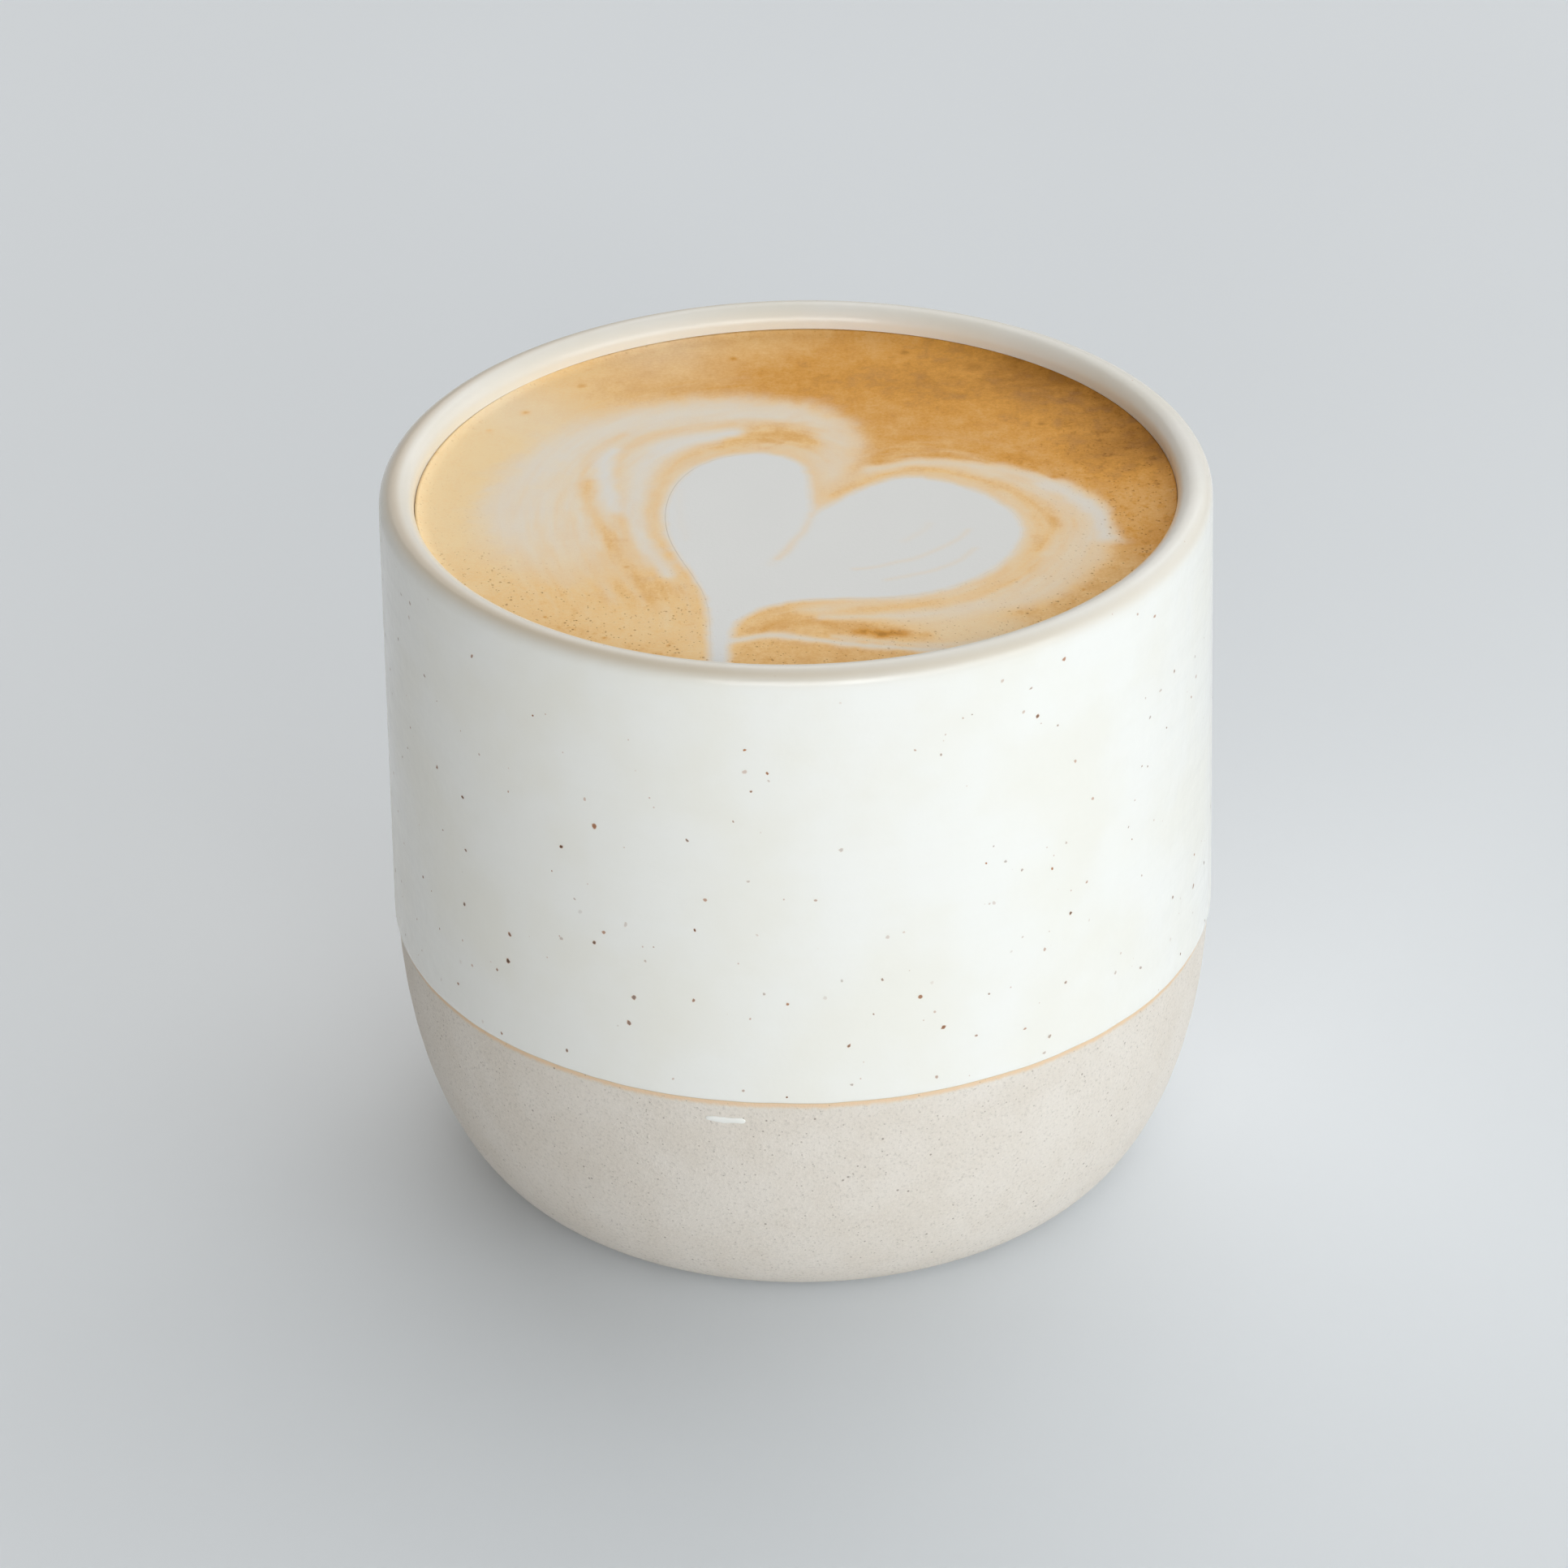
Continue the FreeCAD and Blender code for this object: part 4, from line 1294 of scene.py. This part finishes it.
# The soft lamps: name, degrees round the cup and above the floor, metres from it, width and
# height in metres, watts and tint. The two strongest stand low in front and at the front right.
LAMPS = (
    ("front_right", -50, 16, 1.5, 1.7, 0.70, 8.7, (0.91, 0.97, 1.0)),
    ("front", -92, 18, 1.5, 1.2, 0.65, 8.4, (1.0, 0.985, 0.95)),
    ("right", -8, 18, 1.5, 1.2, 0.8, 1.2, (0.96, 0.98, 1.0)),
    ("right_back", 38, 28, 1.5, 1.2, 1.0, 2.2, (0.96, 0.98, 1.0)),
    ("back", 88, 40, 1.6, 1.8, 1.0, 5.4, (0.99, 0.99, 1.0)),
    ("top", 60, 66, 1.6, 1.5, 1.5, 2.7, (0.99, 0.99, 1.0)),
)
AIM = Vector((0, 0, 0.035))
WARM_SKY, COOL_SKY = (1.0, 0.92, 0.79, 1.0), (0.94, 0.98, 1.0, 1.0)
SKY_WRAP = 0.2              # how far past the side the light of the world's gradients reaches


def soft_lamp(name, round_degrees, up_degrees, away, width, height, watts, tint):
    """A rectangular area lamp at a bearing and a distance from the cup, turned to the cup."""
    turn, rise = math.radians(round_degrees), math.radians(up_degrees)
    out = Vector((math.cos(rise) * math.cos(turn), math.cos(rise) * math.sin(turn),
                  math.sin(rise)))
    data = bpy.data.lights.new(name, "AREA")
    data.shape = "RECTANGLE"
    data.size, data.size_y = width, height
    data.energy = watts
    data.color = tint
    lamp = bpy.data.objects.new(name, data)
    lamp.location = AIM + away * out
    lamp.rotation_euler = (-out).to_track_quat("-Z", "Y").to_euler()
    lamp.visible_camera = False
    bpy.context.collection.objects.link(lamp)


def studio_world(stage):
    """The world's light: strength ambient + right * clamp((x + 0.2) / 1.2) + back *
    clamp((y + 0.2) / 1.2) for the direction (x, y, z), and the plain backdrop where it is seen
    straight on, mirrored or through glass."""
    world = bpy.data.worlds.new("studio")
    world.use_nodes = True
    nodes, links = world.node_tree.nodes, world.node_tree.links
    direction = nodes.new("ShaderNodeTexCoord").outputs["Generated"]
    split = nodes.new("ShaderNodeSeparateXYZ")
    links.new(direction, split.inputs["Vector"])

    def joined(operation, first, second):
        """One sum of two values."""
        node = nodes.new("ShaderNodeMath")
        node.operation = operation
        for socket, source in zip(node.inputs, (first, second)):
            if isinstance(source, bpy.types.NodeSocket):
                links.new(source, socket)
            else:
                socket.default_value = source
        return node.outputs["Value"]

    def towards(axis, strength):
        """A value that grows towards the far end of an axis, from nought to a strength."""
        node = nodes.new("ShaderNodeMapRange")
        links.new(split.outputs[axis], node.inputs["Value"])
        node.inputs["From Min"].default_value = -SKY_WRAP
        node.inputs["To Max"].default_value = strength
        return node.outputs["Result"]

    warm = nodes["Background"]
    warm.inputs["Color"].default_value = WARM_SKY
    links.new(joined("ADD", towards("Y", stage.world_back), stage.world_all_round),
              warm.inputs["Strength"])
    cool = nodes.new("ShaderNodeBackground")
    cool.inputs["Color"].default_value = COOL_SKY
    links.new(towards("X", stage.world_right), cool.inputs["Strength"])
    lit = nodes.new("ShaderNodeAddShader")
    links.new(warm.outputs["Background"], lit.inputs[0])
    links.new(cool.outputs["Background"], lit.inputs[1])
    seen = nodes.new("ShaderNodeBackground")
    seen.inputs["Color"].default_value = (*stage.backdrop, 1.0)
    path = nodes.new("ShaderNodeLightPath").outputs
    direct = joined("MAXIMUM", path["Is Camera Ray"],
                    joined("MAXIMUM", path["Is Glossy Ray"], path["Is Transmission Ray"]))
    choice = nodes.new("ShaderNodeMixShader")
    links.new(direct, choice.inputs["Fac"])
    links.new(lit.outputs["Shader"], choice.inputs[1])
    links.new(seen.outputs["Background"], choice.inputs[2])
    links.new(choice.outputs["Shader"], nodes["World Output"].inputs["Surface"])
    return world


class CORTADO_OT_stage(bpy.types.Operator):
    """Lays the pale floor and sets the soft light and the camera"""
    bl_idname = "cortado.stage"
    bl_label = "Stage"

    def execute(self, context):
        scene = context.scene
        stage = scene.cortado_stage
        half = stage.floor_size / 2
        corners = np.array([[-half, -half, 0], [half, -half, 0], [half, half, 0],
                            [-half, half, 0]])
        n = Nodes("pale_floor")
        cloud = n.noise(n.place(), 0.12, 2.0)
        base = n.mix(n.remap(cloud, 0.3, 0.7), tuple(stage.floor), tinted(stage.floor, 1.02))
        material = n.finish(base, 0.6, n.relief(n.noise(n.place(), 0.002), 0.00001))
        floor = make_piece("floor", corners, np.array([[0, 1, 2, 3]]), NO_TRIANGLES, material)
        for lamp in LAMPS:
            soft_lamp(*lamp)
        scene.world = studio_world(stage)
        scene.view_settings.view_transform = "Standard"
        self.place_camera(scene, stage)
        return {"FINISHED"}

    def place_camera(self, scene, stage):
        """Puts the camera at its distance from the aim point, rolled about its own axis."""
        tilt, roll = stage.elevation, stage.roll
        ahead = Vector((0, math.cos(tilt), -math.sin(tilt)))
        level_right = Vector((1, 0, 0))
        level_up = Vector((0, math.sin(tilt), math.cos(tilt)))
        right = math.cos(roll) * level_right + math.sin(roll) * level_up
        up = math.cos(roll) * level_up - math.sin(roll) * level_right
        data = bpy.data.cameras.new("camera")
        data.lens = stage.lens
        data.sensor_width = 36.0
        data.clip_start, data.clip_end = 0.01, 20.0
        camera = bpy.data.objects.new("camera", data)
        turn = Matrix((right, up, -ahead)).transposed().to_4x4()
        camera.matrix_world = Matrix.Translation(Vector(stage.aim) - stage.distance * ahead) @ turn
        scene.collection.objects.link(camera)
        scene.camera = camera


class CORTADO_PT_panel(bpy.types.Panel):
    """Lists the cortado's builders and their settings"""
    bl_idname = "CORTADO_PT_panel"
    bl_label = "Cortado"
    bl_space_type = "VIEW_3D"
    bl_region_type = "UI"
    bl_category = "Cortado"

    def draw(self, context):
        layout = self.layout
        for group, operators in PANEL_ROWS:
            box = layout.box()
            settings = getattr(context.scene, group)
            for label in settings.bl_rna.properties.keys():
                if label not in ("rna_type", "name"):
                    box.prop(settings, label)
            for operator in operators:
                box.operator(operator.bl_idname)


PANEL_ROWS = (
    ("cortado_cup", (CORTADO_OT_clay_body,)),
    ("cortado_glaze", (CORTADO_OT_glaze_coat, CORTADO_OT_glaze_specks,
                       CORTADO_OT_glaze_dash)),
    ("cortado_clay", ()),
    ("cortado_drink", (CORTADO_OT_coffee, CORTADO_OT_milk_heart)),
    ("cortado_stage", (CORTADO_OT_stage,)),
)
SETTINGS = (("cortado_cup", CupSizes), ("cortado_glaze", GlazeSettings),
            ("cortado_clay", ClaySettings), ("cortado_drink", DrinkSettings),
            ("cortado_stage", StageSettings))
OPERATORS = (CORTADO_OT_clay_body, CORTADO_OT_glaze_coat, CORTADO_OT_glaze_specks,
             CORTADO_OT_glaze_dash, CORTADO_OT_coffee, CORTADO_OT_milk_heart,
             CORTADO_OT_stage)


def register():
    """Registers the settings, the operators and the panel."""
    for label, group in SETTINGS:
        bpy.utils.register_class(group)
        setattr(bpy.types.Scene, label, PointerProperty(type=group))
    for operator in OPERATORS:
        bpy.utils.register_class(operator)
    bpy.utils.register_class(CORTADO_PT_panel)


def unregister():
    """Takes them away again, last first."""
    bpy.utils.unregister_class(CORTADO_PT_panel)
    for operator in reversed(OPERATORS):
        bpy.utils.unregister_class(operator)
    for label, group in reversed(SETTINGS):
        delattr(bpy.types.Scene, label)
        bpy.utils.unregister_class(group)


def main():
    """Builds every piece."""
    register()
    for build in (bpy.ops.cortado.clay_body, bpy.ops.cortado.glaze_coat,
                  bpy.ops.cortado.glaze_specks, bpy.ops.cortado.glaze_dash,
                  bpy.ops.cortado.coffee, bpy.ops.cortado.milk_heart, bpy.ops.cortado.stage):
        build()


if __name__ == "__main__":
    main()
